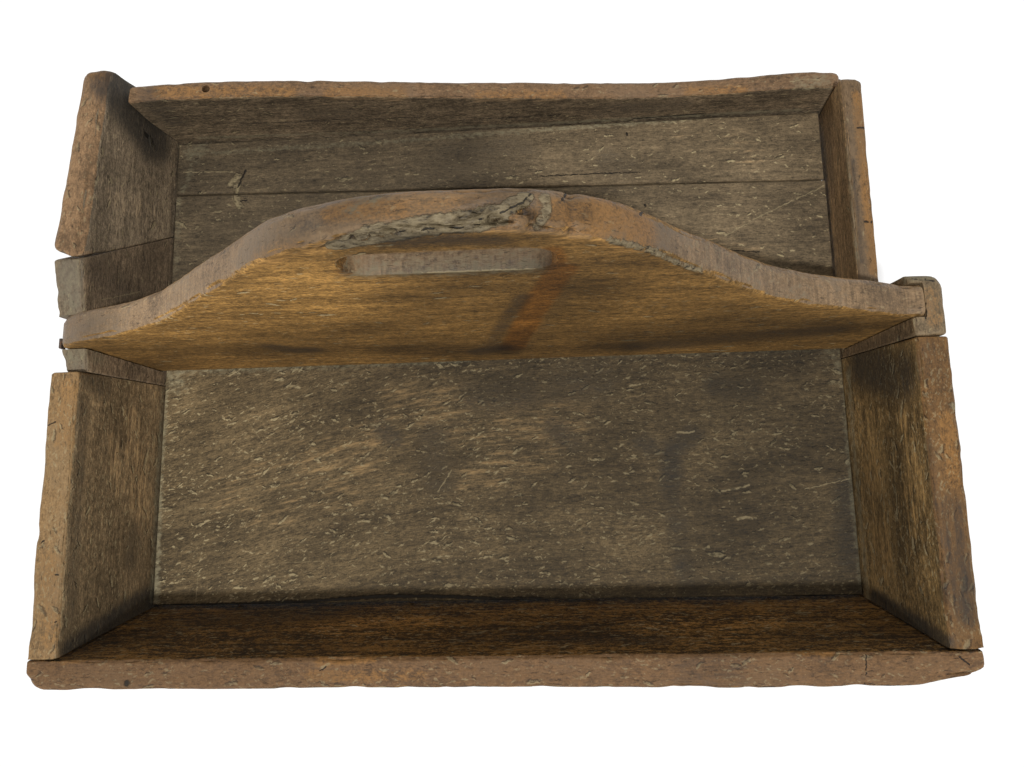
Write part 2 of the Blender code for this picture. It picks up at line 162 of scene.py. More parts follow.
# Colours and tints
STRAW = (0.40, 0.32, 0.175)
GOLD = (0.34, 0.185, 0.062)
AMBER = (0.305, 0.149, 0.041)
# Dark colour of stains, and of the front wall's painted shadow on the end boards
SOOT_AND_SHADE = (0.013, 0.015, 0.016)
RUSSET_TINT = (0.88, 0.68, 0.45)
DUST = (0.24, 0.212, 0.132)
# Near black of cracks and pores, and of painted shade in hollows and beside chips
CREVICE_AND_SHADE = (0.007, 0.005, 0.003)
BLOOM_TINT = (0.62, 0.74, 0.95)
SHREDS = ((0.35, (0.034, 0.025, 0.013)), (0.42, (0.150, 0.112, 0.060)), (0.62, (0.30, 0.235, 0.135)))
RUSTS = ((0.35, (0.030, 0.026, 0.024)), (0.52, (0.085, 0.060, 0.045)), (0.66, (0.16, 0.075, 0.032)))

# Masks that marks are drawn on
MASKS = ("tone", "stain_and_shade", "bare", "dust", "torn", "comb", "russet")

# Marks that the photograph shows, by board and mask: reach in millimetres, strength, and a route in pixels
MARKS = {
    "floor_front": {
        "bare": (
            (45, 0.27, (235, 505), (330, 478), (450, 432)), (24, 0.32, (260, 470), (400, 425)),
            (26, 0.30, (470, 480), (560, 450)), (40, 0.30, (400, 395), (480, 420), (570, 415)),
        ),
        "tone": (
            (120, 0.40, (200, 420), (200, 560)), (130, -0.35, (780, 400), (800, 580)),
            (90, -0.15, (560, 390), (600, 560)), (30, -0.14, (250, 382), (800, 362)),
        ),
        "stain_and_shade": (
            (22, 0.52, (432, 440), (438, 480)), (24, 0.46, (478, 398), (525, 392)),
            (13, 0.60, (692, 434), (672, 448), (670, 492)), (13, 0.42, (674, 505), (690, 592)),
            (19, 0.56, (850, 490), (852, 560)), (28, 0.38, (560, 388), (600, 380)),
            (15, 0.48, (716, 386), (752, 388)), (14, 0.54, (383, 428), (394, 438)),
            (12, 0.54, (640, 442), (652, 448)), (15, 0.46, (556, 428), (572, 442)),
        ),
        "dust": (
            (5, 0.55, (160, 372), (250, 369), (330, 366), (470, 360)), (16, 0.60, (162, 374), (176, 383)),
            (5, 0.70, (162, 390), (160, 470), (155, 600)), (16, 0.45, (835, 354), (845, 362)),
            (5, 0.60, (848, 370), (856, 480), (863, 590)), (5, 0.45, (600, 354), (820, 348)),
        ),
    },
    "floor_middle": {
        "tone": (
            (90, -0.24, (190, 215), (300, 215)), (90, 0.36, (690, 215), (810, 240)),
        ),
        "stain_and_shade": ((16, 0.40, (255, 232), (262, 236)),),
        "bare": ((24, 0.22, (700, 245), (800, 255)),),
        "torn": ((4.5, 0.85, (236, 196), (240, 207)),),
        "dust": ((5, 0.45, (178, 200), (176, 270)),),
    },
    "floor_back": {
        "tone": (
            (100, -0.27, (190, 160), (420, 150)), (110, 0.44, (600, 150), (800, 140)),
        ),
        "dust": (
            (10, 0.60, (190, 153), (202, 148)), (6, 0.45, (185, 140), (183, 190)),
            (3.2, 0.34, (660, 152), (700, 188)), (3.2, 0.30, (702, 150), (665, 188)),
            (4, 0.55, (200, 139), (400, 132), (640, 120), (800, 112)),
        ),
        "torn": ((5, 0.85, (238, 176), (236, 190)),),
        "stain_and_shade": (
            (20, 0.42, (608, 163), (625, 166)), (26, 0.36, (450, 160), (520, 150)),
        ),
        "bare": ((24, 0.24, (690, 140), (760, 150)),),
    },
    "handle_board": {
        "torn": (
            (5.4, 1.00, (330, 243), (372, 232), (425, 223), (470, 217), (500, 211), (526, 198)),
            (4.6, 0.85, (336, 247), (372, 240), (425, 231), (470, 227), (503, 220)),
            (3.4, 0.62, (610, 240), (650, 250), (700, 272)),
            (4.6, 0.62, (545, 197), (547, 212), (538, 226)),
        ),
        "bare": (
            (20, 0.85, (560, 222), (600, 216), (640, 228)), (16, 0.65, (508, 226), (545, 222)),
            (14, 0.48, (400, 205), (450, 196), (490, 190)), (10, 0.50, (262, 262), (300, 250), (330, 244)),
            (9, 0.70, (330, 212), (400, 208)),
        ),
        "russet": (
            (13, 1.00, (562, 268), (540, 300), (512, 348)), (9, 0.70, (553, 250), (558, 264)),
            (8, 0.70, (342, 263), (348, 270)),
        ),
        "tone": (
            (16, -0.30, (522, 330), (508, 352)), (28, -0.22, (585, 290), (572, 326)),
            (12, -0.18, (90, 328), (200, 285), (300, 237)), (60, -0.22, (610, 275), (770, 302)),
            (80, 0.82, (170, 325), (300, 295)), (50, -0.52, (620, 338), (840, 326)),
            (28, -0.40, (250, 350), (620, 350)), (60, -0.22, (400, 300), (500, 300)),
            (16, -0.35, (352, 246), (430, 240), (540, 238)), (14, -0.48, (352, 263), (540, 259)),
            (30, 0.34, (700, 255), (790, 284), (900, 298)), (14, -0.24, (335, 208), (375, 198)),
            (12, -0.22, (478, 204), (520, 192)), (10, -0.25, (575, 205), (585, 212)),
        ),
        "stain_and_shade": (
            (9, 0.58, (524, 296), (506, 320), (486, 352)), (6, 0.34, (573, 284), (554, 312), (531, 346)),
            (12, 0.70, (400, 243), (450, 240), (498, 240)), (15, 0.60, (268, 346), (290, 350), (312, 350)),
            (18, 0.72, (478, 352), (500, 347)), (26, 0.58, (640, 346), (720, 340), (830, 330)),
            (6, 0.75, (342, 262), (345, 268)), (8, 0.60, (549, 257), (552, 266)),
            (10, 0.35, (300, 222), (345, 210), (372, 203)), (8, 0.40, (470, 205), (505, 196)),
        ),
        "comb": (
            (16, 0.90, (350, 264), (430, 263), (540, 260)), (24, 0.42, (690, 245), (780, 280), (900, 296)),
            (24, 0.30, (100, 325), (200, 285), (260, 245)),
        ),
        "dust": (
            (14, 0.70, (355, 264), (430, 263), (535, 260)), (4, 0.65, (352, 272), (430, 272), (535, 269)),
            (20, 0.25, (690, 250), (800, 285)), (12, 0.35, (350, 203), (380, 200)),
        ),
    },
    "front_wall": {
        "stain_and_shade": (
            (14, 0.50, (560, 640), (660, 640)), (18, 0.42, (690, 668), (730, 668)),
            (20, 0.35, (200, 620), (320, 615)),
        ),
        "tone": (
            (30, -0.40, (90, 648), (190, 622), (330, 612)), (24, 0.45, (330, 630), (420, 624)),
            (26, -0.35, (470, 640), (600, 628)), (26, 0.40, (640, 625), (760, 618)),
            (24, -0.35, (800, 640), (900, 632)), (90, -0.10, (100, 672), (250, 672)),
        ),
        "bare": (
            (5, 0.80, (320, 661), (372, 659)), (4, 0.80, (62, 661), (100, 658)),
            (4, 0.75, (800, 653), (830, 653)), (12, 0.40, (330, 628), (420, 626)),
            (7, 0.60, (500, 650), (560, 648)), (6, 0.60, (310, 676), (420, 676)),
        ),
    },
    "back_wall": {
        "bare": (
            (10, 0.65, (160, 92), (210, 93), (290, 93)), (10, 0.60, (330, 95), (400, 95)),
            (9, 0.55, (480, 97), (560, 97)), (7, 0.60, (690, 92), (745, 90)),
        ),
        "stain_and_shade": (
            (20, 0.42, (310, 115), (350, 114)), (20, 0.50, (150, 100), (175, 120)),
            (18, 0.36, (600, 110), (680, 106)),
        ),
        "dust": (
            (10, 0.55, (800, 82), (826, 82)), (4, 0.70, (200, 138), (400, 131), (640, 118), (800, 110)),
        ),
    },
    "left_end_front": {
        "bare": (
            (20, 0.55, (130, 420), (142, 520)), (12, 0.45, (112, 440), (118, 490)),
            (10, 0.45, (50, 560), (48, 640)), (10, 0.45, (68, 385), (62, 440)),
        ),
        "stain_and_shade": (
            (16, 0.50, (88, 376), (105, 386)), (14, 0.55, (136, 530), (130, 560)),
            # The last row is painted shadow: the front wall's shade on this board, along their joint
            (9, 0.45, (84, 400), (76, 520), (70, 640)), (17, 1.00, (72, 650), (108, 627), (148, 600)),
        ),
        "dust": ((5, 0.70, (160, 385), (158, 470), (152, 600)),),
        "tone": ((70, 0.22, (112, 410), (108, 500)),),
    },
    "left_end_middle": {
        "dust": (
            (16, 0.42, (72, 262), (66, 285), (68, 310)), (14, 0.60, (72, 352), (100, 358)),
        ),
        "stain_and_shade": ((22, 0.40, (100, 272), (130, 300)),),
        "tone": ((40, -0.20, (110, 265), (160, 290)),),
    },
    "left_end_back": {
        "stain_and_shade": (
            (38, 1.00, (122, 94), (136, 112), (152, 134)), (16, 0.90, (113, 84), (119, 100)),
        ),
        "bare": (
            (18, 0.35, (112, 200), (150, 215)), (8, 0.90, (95, 74), (108, 76)),
        ),
        "torn": ((4, 0.80, (150, 138), (153, 147)),),
        "dust": ((20, 0.25, (160, 200), (170, 230)),),
    },
    "right_end_front": {
        "bare": (
            (20, 0.65, (870, 470), (882, 560)), (18, 0.50, (903, 420), (917, 530)),
            (8, 0.75, (947, 420), (955, 480)),
        ),
        "stain_and_shade": (
            # The second row is painted shadow: the front wall's shade on this board, along their joint
            (30, 0.80, (862, 364), (900, 378)), (10, 0.80, (944, 642), (910, 620), (874, 598)),
            (6, 0.45, (928, 440), (945, 600)), (12, 0.52, (950, 505), (956, 560), (968, 615)),
            (12, 0.45, (930, 350), (938, 380)),
        ),
        "tone": (
            (60, -0.30, (880, 510), (905, 600)), (20, 0.42, (910, 400), (918, 480), (928, 570)),
        ),
        "dust": ((5, 0.70, (848, 370), (857, 480), (868, 595)),),
        "torn": ((4, 0.80, (951, 405), (958, 408)),),
    },
    "right_end_middle": {
        "dust": ((8, 0.75, (908, 277), (930, 277)),),
        "bare": ((10, 0.50, (930, 295), (935, 320)),),
        "stain_and_shade": ((10, 0.40, (850, 350), (910, 335)),),
    },
    "right_end_back": {
        "bare": (
            (6, 0.95, (832, 205), (834, 230)), (7, 0.80, (858, 95), (868, 200), (875, 270)),
        ),
        "dust": ((4, 0.60, (846, 150), (856, 262)),),
        "stain_and_shade": (
            (10, 0.40, (828, 120), (832, 180)), (2.2, 0.50, (853, 160), (862, 262)),
        ),
    },
}

# Thin lines that the photograph shows, by board and kind: half width in millimetres, and a route in pixels
LINES = {
    "floor_front": {
        "crack": (
            (1.7, (152, 607), (300, 606), (500, 604), (700, 602), (822, 597), (832, 600), (862, 600)),
        ),
        "chip": (
            (0.9, (722, 491), (735, 489), (749, 485)), (1.2, (738, 519), (746, 517), (752, 519)),
            (1, (678, 432), (688, 433), (694, 431)), (1, (630, 386), (640, 384)),
            (1.2, (287, 387), (293, 386), (300, 388)), (1.1, (370, 425), (380, 424)),
        ),
        "scratch": (
            (0.5, (825, 445), (833, 450), (851, 448)), (0.5, (805, 489), (850, 479)),
            (0.5, (439, 490), (452, 470)),
        ),
    },
    "floor_middle": {
        "scratch": ((0.5, (725, 236), (760, 216), (824, 186)),),
        "chip": ((2, (233, 197), (239, 207)),),
        "crack": (
            (0.6, (241, 194), (240, 201)), (1.3, (645, 204.6), (645, 205.4)), (0.5, (690, 248), (760, 252)),
        ),
    },
    "floor_back": {
        "chip": (
            (2.6, (231, 184), (236, 178)), (1.6, (238, 186), (237, 193)),
        ),
        "crack": (
            (0.9, (246, 170), (241, 180), (238, 187)), (0.5, (540, 176), (640, 172)),
            (1.2, (627, 133.7), (627, 134.3)),
        ),
        "scratch": ((0.5, (184, 172), (235, 172)),),
    },
    "handle_board": {
        "crack": (
            (0.6, (531, 194), (523, 202), (503, 212), (480, 219)),
            (0.6, (400, 231), (430, 228), (455, 228), (480, 224)), (0.7, (566, 194), (562, 200)),
            (1, (643, 211), (640, 215)), (0.4, (667, 288), (692, 288)),
        ),
        "scratch": (
            (0.7, (352, 271), (430, 272.5), (535, 269)), (0.5, (118, 337), (140, 341), (165, 347)),
        ),
        "chip": ((0.9, (725, 311), (735, 311)),),
    },
    "front_wall": {
        "crack": (
            (0.4, (866, 655), (866, 672), (865, 684)), (0.6, (949, 649), (960, 657), (969, 665)),
            (2.4, (127, 682.5), (127, 683.5)), (0.5, (320, 671), (326, 667)),
            (0.7, (66, 656), (108, 633), (150, 611)), (0.7, (950, 648), (910, 625), (868, 601)),
        ),
        "chip": (
            (1, (321, 668), (329, 664)), (1.4, (702, 607), (711, 606)), (1.2, (706, 614), (714, 613)),
            (1.2, (590, 632), (603, 631)), (1.1, (850, 610), (860, 613)), (1.1, (692, 641), (705, 640)),
        ),
        "scratch": ((0.6, (505, 650), (530, 646), (560, 645)),),
    },
    "back_wall": {
        "crack": (
            (0.6, (480, 119), (560, 115)), (0.9, (632, 119), (700, 114)), (0.5, (300, 121), (430, 117)),
            (0.5, (240, 124), (330, 121)),
        ),
        "scratch": ((0.5, (790, 82), (806, 79), (820, 80)),),
    },
    "left_end_front": {
        "crack": (
            (0.7, (31, 571), (58, 575)), (0.6, (29, 619), (56, 622)), (0.7, (36, 546), (44, 541)),
            (0.6, (48, 425), (55, 422)),
        ),
        "scratch": (
            (0.5, (108, 522), (118, 518), (134, 508)), (0.5, (118, 470), (136, 452)),
        ),
    },
    "left_end_middle": {
        "scratch": ((0.5, (100, 300), (140, 292)),),
    },
    "left_end_back": {
        "crack": ((2.4, (146, 134), (148, 136)),),
    },
    "right_end_front": {
        "scratch": (
            (0.5, (892, 440), (898, 520)), (0.5, (915, 432), (922, 470)),
        ),
        "chip": ((1, (869, 535), (873, 552)),),
        "crack": ((0.7, (940, 650), (962, 652)),),
    },
    "right_end_middle": {
        "crack": (
            (0.7, (925, 279), (926, 318)), (0.6, (912, 279), (934, 281)),
        ),
    },
    "right_end_back": {
        "crack": (
            (0.9, (858, 128), (864, 128)), (0.9, (865, 222), (872, 222)),
        ),
    },
}

# What each board is like: colours of its faces and rims, shares of scuffs and bare flecks, and contrast
REAR_FLOOR = dict(face=(0.112, 0.081, 0.045), scuffs=0.40, contrast=1.0)
LOOKS = {
    "front_wall": dict(
        face=(0.099, 0.052, 0.014), rim=(0.172, 0.092, 0.038), scuffs=1.25, flecks=0.60, contrast=4.8,
        coarse=0.25,
    ),
    "back_wall": dict(
        face=(0.143, 0.105, 0.063), rim=(0.206, 0.121, 0.060), scuffs=0.55, flecks=0.15, contrast=1.5
    ),
    "left_end_front": dict(
        face=(0.228, 0.161, 0.086), rim=(0.258, 0.155, 0.065), scuffs=1.90, flecks=0.45, contrast=1.1,
        coarse=0.1,
    ),
    "left_end_middle": dict(
        face=(0.240, 0.172, 0.106), rim=(0.178, 0.132, 0.081), scuffs=0.60, flecks=0.10, contrast=1.2
    ),
    "left_end_back": dict(
        face=(0.280, 0.213, 0.137), rim=(0.285, 0.170, 0.084), scuffs=1.00, flecks=0.20, contrast=1.2
    ),
    "right_end_front": dict(
        face=(0.176, 0.111, 0.043), rim=(0.172, 0.088, 0.029), scuffs=1.90, flecks=0.60, contrast=1.45,
        coarse=0.3,
    ),
    "right_end_middle": dict(
        face=(0.170, 0.110, 0.055), rim=(0.196, 0.138, 0.076), scuffs=0.40, flecks=0.15, contrast=1.3
    ),
    "right_end_back": dict(
        face=(0.285, 0.184, 0.090), rim=(0.162, 0.103, 0.053), scuffs=0.45, flecks=0.20, contrast=1.3
    ),
    "handle_board": dict(
        face=(0.210, 0.114, 0.032), rim=(0.194, 0.125, 0.066), scuffs=0.35, contrast=1.35, polish=1.0
    ),
    "floor_front": dict(face=(0.100, 0.070, 0.034), scuffs=1.0, contrast=1.2),
    "floor_middle": REAR_FLOOR,
    "floor_back": REAR_FLOOR,
}


# Shader graphs

class Graph:
    """Short names for making and joining shader nodes."""

    def __init__(self, tree):
        self.tree = tree

    def feed(self, socket, value):
        if isinstance(value, bpy.types.NodeSocket):
            self.tree.links.new(value, socket)
        else:
            socket.default_value = value

    def node(self, kind, inputs=None, **settings):
        made = self.tree.nodes.new("ShaderNode" + kind)
        for key, value in settings.items():
            setattr(made, key, value)
        for key, value in (inputs or {}).items():
            self.feed(made.inputs[key], value)
        return made

    def math(self, operation, a, b=0.0):
        return self.node("Math", {0: a, 1: b}, operation=operation).outputs[0]

    def chain(self, operation, values):
        total = values[0]
        for value in values[1:]:
            total = self.math(operation, total, value)
        return total

    def add(self, *values):
        return self.chain("ADD", values)

    def weigh(self, *pairs):
        """The sum of values, each times its weight."""
        return self.add(*(self.times(value, weight) for value, weight in pairs))

    def times(self, *values):
        return self.chain("MULTIPLY", values)

    def most(self, *values):
        return self.chain("MAXIMUM", values)

    def vector(self, operation, a, b=(0, 0, 0), c=(0, 0, 0), output=0):
        return self.node("VectorMath", {0: a, 1: b, 2: c}, operation=operation).outputs[output]

    def scaled(self, vector, by):
        return self.node("VectorMath", {0: vector, "Scale": by}, operation="SCALE").outputs[0]

    def span(self, value, low, high, start=0.0, end=1.0, kind="SMOOTHSTEP"):
        inputs = {"Value": value, "From Min": low, "From Max": high, "To Min": start, "To Max": end}
        return self.node("MapRange", inputs, interpolation_type=kind).outputs["Result"]

    def attribute(self, name, output="Fac"):
        return self.node("Attribute", attribute_name=name, attribute_type="GEOMETRY").outputs[output]

    def noise(self, vector, scale, detail=2.0, rough=0.5, output=0):
        """Noise with so many features to the metre along each axis."""
        place = self.vector("MULTIPLY", vector, scale)
        inputs = {"Vector": place, "Scale": 1.0, "Detail": detail, "Roughness": rough}
        return self.node("TexNoise", inputs).outputs[output]

    def bump(self, height, distance):
        return self.node("Bump", {"Height": height, "Strength": 1.0, "Distance": distance}).outputs[0]

    def ramp(self, value, stops):
        made = self.node("ValToRGB", {0: value})
        elements = made.color_ramp.elements
        while len(elements) < len(stops):
            elements.new(0.5)
        for element, (place, colour) in zip(elements, stops):
            element.position = place
            element.color = (*colour, 1.0)
        return made.outputs["Color"]

    def mix(self, share, a, b, blend="MIX"):
        made = self.node("Mix", data_type="RGBA", blend_type=blend)
        self.feed(made.inputs[0], share)
        for socket, value in ((made.inputs[6], a), (made.inputs[7], b)):
            self.feed(socket, value if isinstance(value, bpy.types.NodeSocket) else (*value, 1.0))
        return made.outputs[2]

    def patchy(self, name, field, amount, low, high):
        """A mask with its edge broken up by a noise field, and nothing where the mask is nothing."""
        mask = self.attribute(name)
        broken = self.times(self.math("SUBTRACT", field, 0.5), amount, self.span(mask, 0.0, 0.2))
        return self.span(self.add(mask, broken), low, high)

    def group(self, tree, values):
        made = self.node("Group", node_tree=tree)
        for socket, value in zip(made.inputs, values):
            self.feed(socket, value)
        return made.outputs[0]


def new_group(name, vectors, floats):
    """An empty node group that gives one mask, with its graph and its input sockets."""
    tree = bpy.data.node_groups.new(name, "ShaderNodeTree")
    for label in vectors:
        tree.interface.new_socket(label, in_out="INPUT", socket_type="NodeSocketVector")
    for label in floats:
        tree.interface.new_socket(label, in_out="INPUT", socket_type="NodeSocketFloat")
    tree.interface.new_socket("Mask", in_out="OUTPUT", socket_type="NodeSocketFloat")
    given = tree.nodes.new("NodeGroupInput").outputs
    out = tree.nodes.new("NodeGroupOutput").inputs
    return tree, Graph(tree), given, out


def new_material(name):
    """A material with its graph and the inputs of its shader."""
    material = bpy.data.materials.new(name)
    material.use_nodes = True
    return material, Graph(material.node_tree), material.node_tree.nodes["Principled BSDF"].inputs


def strokes_group():
    """Scattered lens-shaped marks. Scale is cells to the metre; length and width are shares of a cell."""
    labels = ("Scale", "Length", "Width", "Turn", "Share")
    tree, graph, given, out = new_group("scattered_marks", ("Vector",), labels)
    place = graph.scaled(given["Vector"], given["Scale"])
    inputs = {"Vector": place, "Scale": 1.0}
    cell = graph.node("TexVoronoi", inputs, voronoi_dimensions="2D", feature="F1").outputs
    chance = graph.node("SeparateColor", {0: cell["Color"]}).outputs
    angle = graph.times(graph.math("SUBTRACT", chance[0], 0.5), given["Turn"])
    offset = graph.vector("SUBTRACT", place, cell["Position"])
    turned = graph.node("VectorRotate", {"Vector": offset, "Angle": angle}, rotation_type="Z_AXIS").outputs[0]
    local = graph.node("SeparateXYZ", {0: turned}).outputs
    size = graph.span(chance[1], 0.0, 1.0, 0.35, 1.0, "LINEAR")
    along = graph.math("DIVIDE", local[0], graph.times(given["Length"], size))
    across = graph.math("DIVIDE", local[1], graph.times(given["Width"], size))
    reach = graph.add(graph.math("POWER", along, 2.0), graph.math("POWER", across, 2.0))
    kept = graph.math("LESS_THAN", chance[2], given["Share"])
    graph.feed(out[0], graph.times(graph.span(reach, 0.45, 1.0, 1.0, 0.0), kept))
    return tree


def line_group():
    """A mask along the straight line from one place to another."""
    tree, graph, given, out = new_group("straight_line", ("Vector", "Start", "End"), ("Width",))
    way = graph.vector("SUBTRACT", given["End"], given["Start"])
    offset = graph.vector("SUBTRACT", given["Vector"], given["Start"])
    passed, whole = (graph.vector("DOT_PRODUCT", one, way, output=1) for one in (offset, way))
    share = graph.span(graph.math("DIVIDE", passed, whole), 0.0, 1.0, kind="LINEAR")
    nearest = graph.scaled(way, share)
    away = graph.vector("LENGTH", graph.vector("SUBTRACT", offset, nearest), output=1)
    graph.feed(out[0], graph.span(graph.math("DIVIDE", away, given["Width"]), 0.45, 1.0, 1.0, 0.0))
    return tree


# Stage

def make_camera():
    data = bpy.data.cameras.new("camera")
    data.sensor_width = SENSOR
    data.lens = FOCAL / IMAGE[0] * SENSOR
    data.clip_start = 0.01
    data.clip_end = 20.0
    camera = bpy.data.objects.new("camera", data)
    camera.matrix_world = Matrix.Translation(CAMERA_PLACE) @ CAMERA_TURN.to_4x4()
    bpy.context.scene.collection.objects.link(camera)
    bpy.context.scene.camera = camera


def background_rays(graph):
    """One on rays that should see the plain white ground: from the camera, a mirror or glass."""
    path = graph.node("LightPath").outputs
    return graph.most(path["Is Camera Ray"], path["Is Glossy Ray"], path["Is Transmission Ray"])


def make_light():
    world = bpy.data.worlds.new("studio")
    bpy.context.scene.world = world
    world.use_nodes = True
    graph = Graph(world.node_tree)
    background = world.node_tree.nodes["Background"].inputs
    background["Color"].default_value = (1, 1, 1, 1)
    graph.feed(background["Strength"], graph.span(background_rays(graph), 0.0, 1.0, AMBIENT, 1.0, "LINEAR"))

    data = bpy.data.lights.new("key", "SUN")
    data.energy = KEY
    data.angle = KEY_ANGLE
    key = bpy.data.objects.new("key", data)
    key.rotation_euler = (KEY_TILT, 0, 0)
    key.location = (0, -0.5, 1.0)
    bpy.context.scene.collection.objects.link(key)
    bpy.context.scene.view_settings.view_transform = "Standard"


def make_ground():
    bm = bmesh.new()
    bmesh.ops.create_grid(bm, x_segments=8, y_segments=8, size=4.0)
    bmesh.ops.translate(bm, verts=bm.verts, vec=(0, 0, -0.0004))
    ground = add_mesh("ground", bm)
    material, graph, _ = new_material("pale_ground")
    material.node_tree.nodes.remove(material.node_tree.nodes["Principled BSDF"])
    paper = graph.node("BsdfDiffuse", {"Color": (0.86, 0.86, 0.86, 1)}).outputs[0]
    glow = graph.node("Emission", {"Color": (1, 1, 1, 1), "Strength": 1.25}).outputs[0]
    share = graph.times(background_rays(graph), 0.6)
    mixed = graph.node("MixShader", {0: share, 1: paper, 2: glow}).outputs[0]
    graph.feed(material.node_tree.nodes["Material Output"].inputs["Surface"], mixed)
    ground.data.materials.append(material)


def add_mesh(name, bm):
    mesh = bpy.data.meshes.new(name)
    bm.to_mesh(mesh)
    bm.free()
    made = bpy.data.objects.new(name, mesh)
    bpy.context.scene.collection.objects.link(made)
    return made


# Numbers

def smooth(low, high, value):
    part = np.clip((value - low) / (high - low), 0.0, 1.0)
    return part * part * (3 - 2 * part)


def lerp(a, b, share):
    return a + (b - a) * share


def value_noise(points, seed):
    """Smooth noise from 0 to 1 with features one unit across."""
    cell = np.floor(points).astype(np.int64)
    part = points - cell
    blend = part * part * (3 - 2 * part)
    total = np.zeros(len(points))
    for corner in range(8):
        step = np.array([(corner >> axis) & 1 for axis in range(3)])
        at = cell + step
        code = at[:, 0] * 374761393 + at[:, 1] * 668265263 + at[:, 2] * 1442695041 + seed * 974634777
        code &= 0xFFFFFFFF
        code = ((code ^ (code >> 13)) * 1274126177) & 0xFFFFFFFF
        code ^= code >> 16
        total += np.prod(np.where(step, blend, 1 - blend), axis=1) * (code & 0xFFFF) / 0xFFFF
    return total


def noise(points, size, seed, octaves=1):
    """Noise with features of a size, which may differ along the three axes."""
    total = np.zeros(len(points))
    weight = 0.0
    for octave in range(octaves):
        share = 0.5 ** octave
        total += share * value_noise(points / np.asarray(size) * 2 ** octave, seed + octave)
        weight += share
    return total / weight


def from_line(points, line):
    """Distance of each point from a line through several places."""
    nearest = np.full(len(points), np.inf)
    for start, end in zip(line, line[1:]):
        way = end - start
        share = np.clip((points - start) @ way / max(way @ way, 1e-12), 0, 1)
        nearest = np.minimum(nearest, np.linalg.norm(points - start - share[:, None] * way, axis=1))
    return nearest


# Finding places on a mesh

def tree_of(mesh):
    places = [vert.co.copy() for vert in mesh.vertices]
    return BVHTree.FromPolygons(places, [tuple(face.vertices) for face in mesh.polygons])


def seen(tree, px, py):
    """The place on a mesh that the photograph shows at a pixel, or the nearest to it."""
    ray = CAMERA_TURN @ Vector(((px - IMAGE[0] / 2) / FOCAL, (IMAGE[1] / 2 - py) / FOCAL, -1.0))
    place = tree.ray_cast(CAMERA_PLACE, ray.normalized())[0]
    if place is None:
        tries = [tree.find_nearest(CAMERA_PLACE + ray * reach) for reach in np.linspace(0.34, 0.66, 33)]
        place = min(tries, key=lambda found: found[3])[0]
    return np.array(place)


def rim_profile(node, y):
    """Heights of a node's top along X, from rays cast down at a depth, with facets and holes smoothed out."""
    low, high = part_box(node)
    tree = tree_of(nodes[node].data)
    xs = np.linspace(low.x, high.x, 500)
    hits = [tree.ray_cast(Vector((x, y, 1.0)), Vector((0, 0, -1)))[0] for x in xs]
    known = np.array([hit is not None for hit in hits])
    heights = np.interp(xs, xs[known], [hit.z for hit in hits if hit is not None])
    for width, middle in ((5, np.median), (4, np.mean)):
        wide = np.pad(heights, width, mode="edge")
        heights = middle([wide[shift:shift + len(xs)] for shift in range(2 * width + 1)], axis=0)
    return lambda x: np.interp(x, xs, heights)


# Making boards

def steps(length, fine, coarse, low, high):
    """Places of grid lines along a side: fine near its two ends, coarse between."""
    start = np.arange(0, low, fine)
    end = length - np.arange(0, high, fine)[::-1]
    count = max(2, round((length - low - high) / coarse) + 1)
    return np.unique(np.round(np.concatenate([start, np.linspace(low, length - high, count), end]), 6))


def shell(lines):
    """The surface of a box as grid points and quads."""
    grid = np.stack(np.meshgrid(*lines, indexing="ij"), -1)
    surface = np.ones(grid.shape[:3], bool)
    surface[1:-1, 1:-1, 1:-1] = False
    index = np.full(surface.shape, -1)
    index[surface] = np.arange(surface.sum())
    quads = []
    for axis in range(3):
        for end in (0, -1):
            sheet = np.take(index, end, axis=axis)
            around = [sheet[:-1, :-1], sheet[1:, :-1], sheet[1:, 1:], sheet[:-1, 1:]]
            made = np.stack(around, -1).reshape(-1, 4)
            quads.append(made[:, ::-1] if (end == 0) != (axis == 1) else made)
    return grid[surface], np.concatenate(quads)


def round_box(flat, size, radii):
    """Box points moved in to rounded edges, with the way out at each."""
    radii = np.minimum(radii, np.array(size) * 0.49)
    core = np.clip(flat, radii, np.array(size) - radii)
    out = (flat - core) / radii
    out /= np.linalg.norm(out, axis=1)[:, None]
    return core + out * radii, out


def worn_board(name, size, lines, place, radii, warp, nicks, seed, extra=None):
    """A mesh for one board from a box of its length, width and thickness.

    Radii and extra give the rounding and the further wear of box points, and place carries them to where the
    board lies.
    """
    flat, quads = shell(lines)
    waver = 0.75 + 0.5 * noise(flat, 0.025, seed + 1, 2)
    points, out = round_box(flat, size, radii(flat) * waver[:, None])
    depth = warp * noise(flat, (0.09, 0.05, 0.05), seed + 2, 2)
    depth += 0.00025 * noise(flat, (0.030, 0.0045, 0.0045), seed + 3, 2)
    depth += 0.0008 * noise(flat, 0.005, seed + 4, 2) * 2 * np.abs(out[:, 1] * out[:, 2])
    depth *= 1 - 0.8 * out[:, 0] ** 2
    rng = np.random.default_rng(seed)
    for _ in range(nicks):
        centre = np.array([rng.uniform(0, size[0]), size[1], rng.choice([0.0, size[2]])])
        reach = rng.uniform(0.0020, 0.0070)
        away = np.linalg.norm((flat - centre) * (rng.uniform(0.4, 1.0), 1, 1), axis=1) / reach
        depth += rng.uniform(0.0003, 0.0016) * np.clip(1 - away ** 2, 0, 1) ** 2
    if extra is not None:
        depth += extra(flat)
    points = place(*(points - out * depth[:, None]).T)
    corners = points[quads]
    volume = 0.0
    for second, third in ((1, 2), (2, 3)):
        volume += np.einsum("ij,ij->", corners[:, 0], np.cross(corners[:, second], corners[:, third]))
    mesh = bpy.data.meshes.new(name)
    mesh.from_pydata(points.tolist(), [], (quads if volume > 0 else quads[:, ::-1]).tolist())
    made = bpy.data.objects.new(name, mesh)
    bpy.context.scene.collection.objects.link(made)
    return made


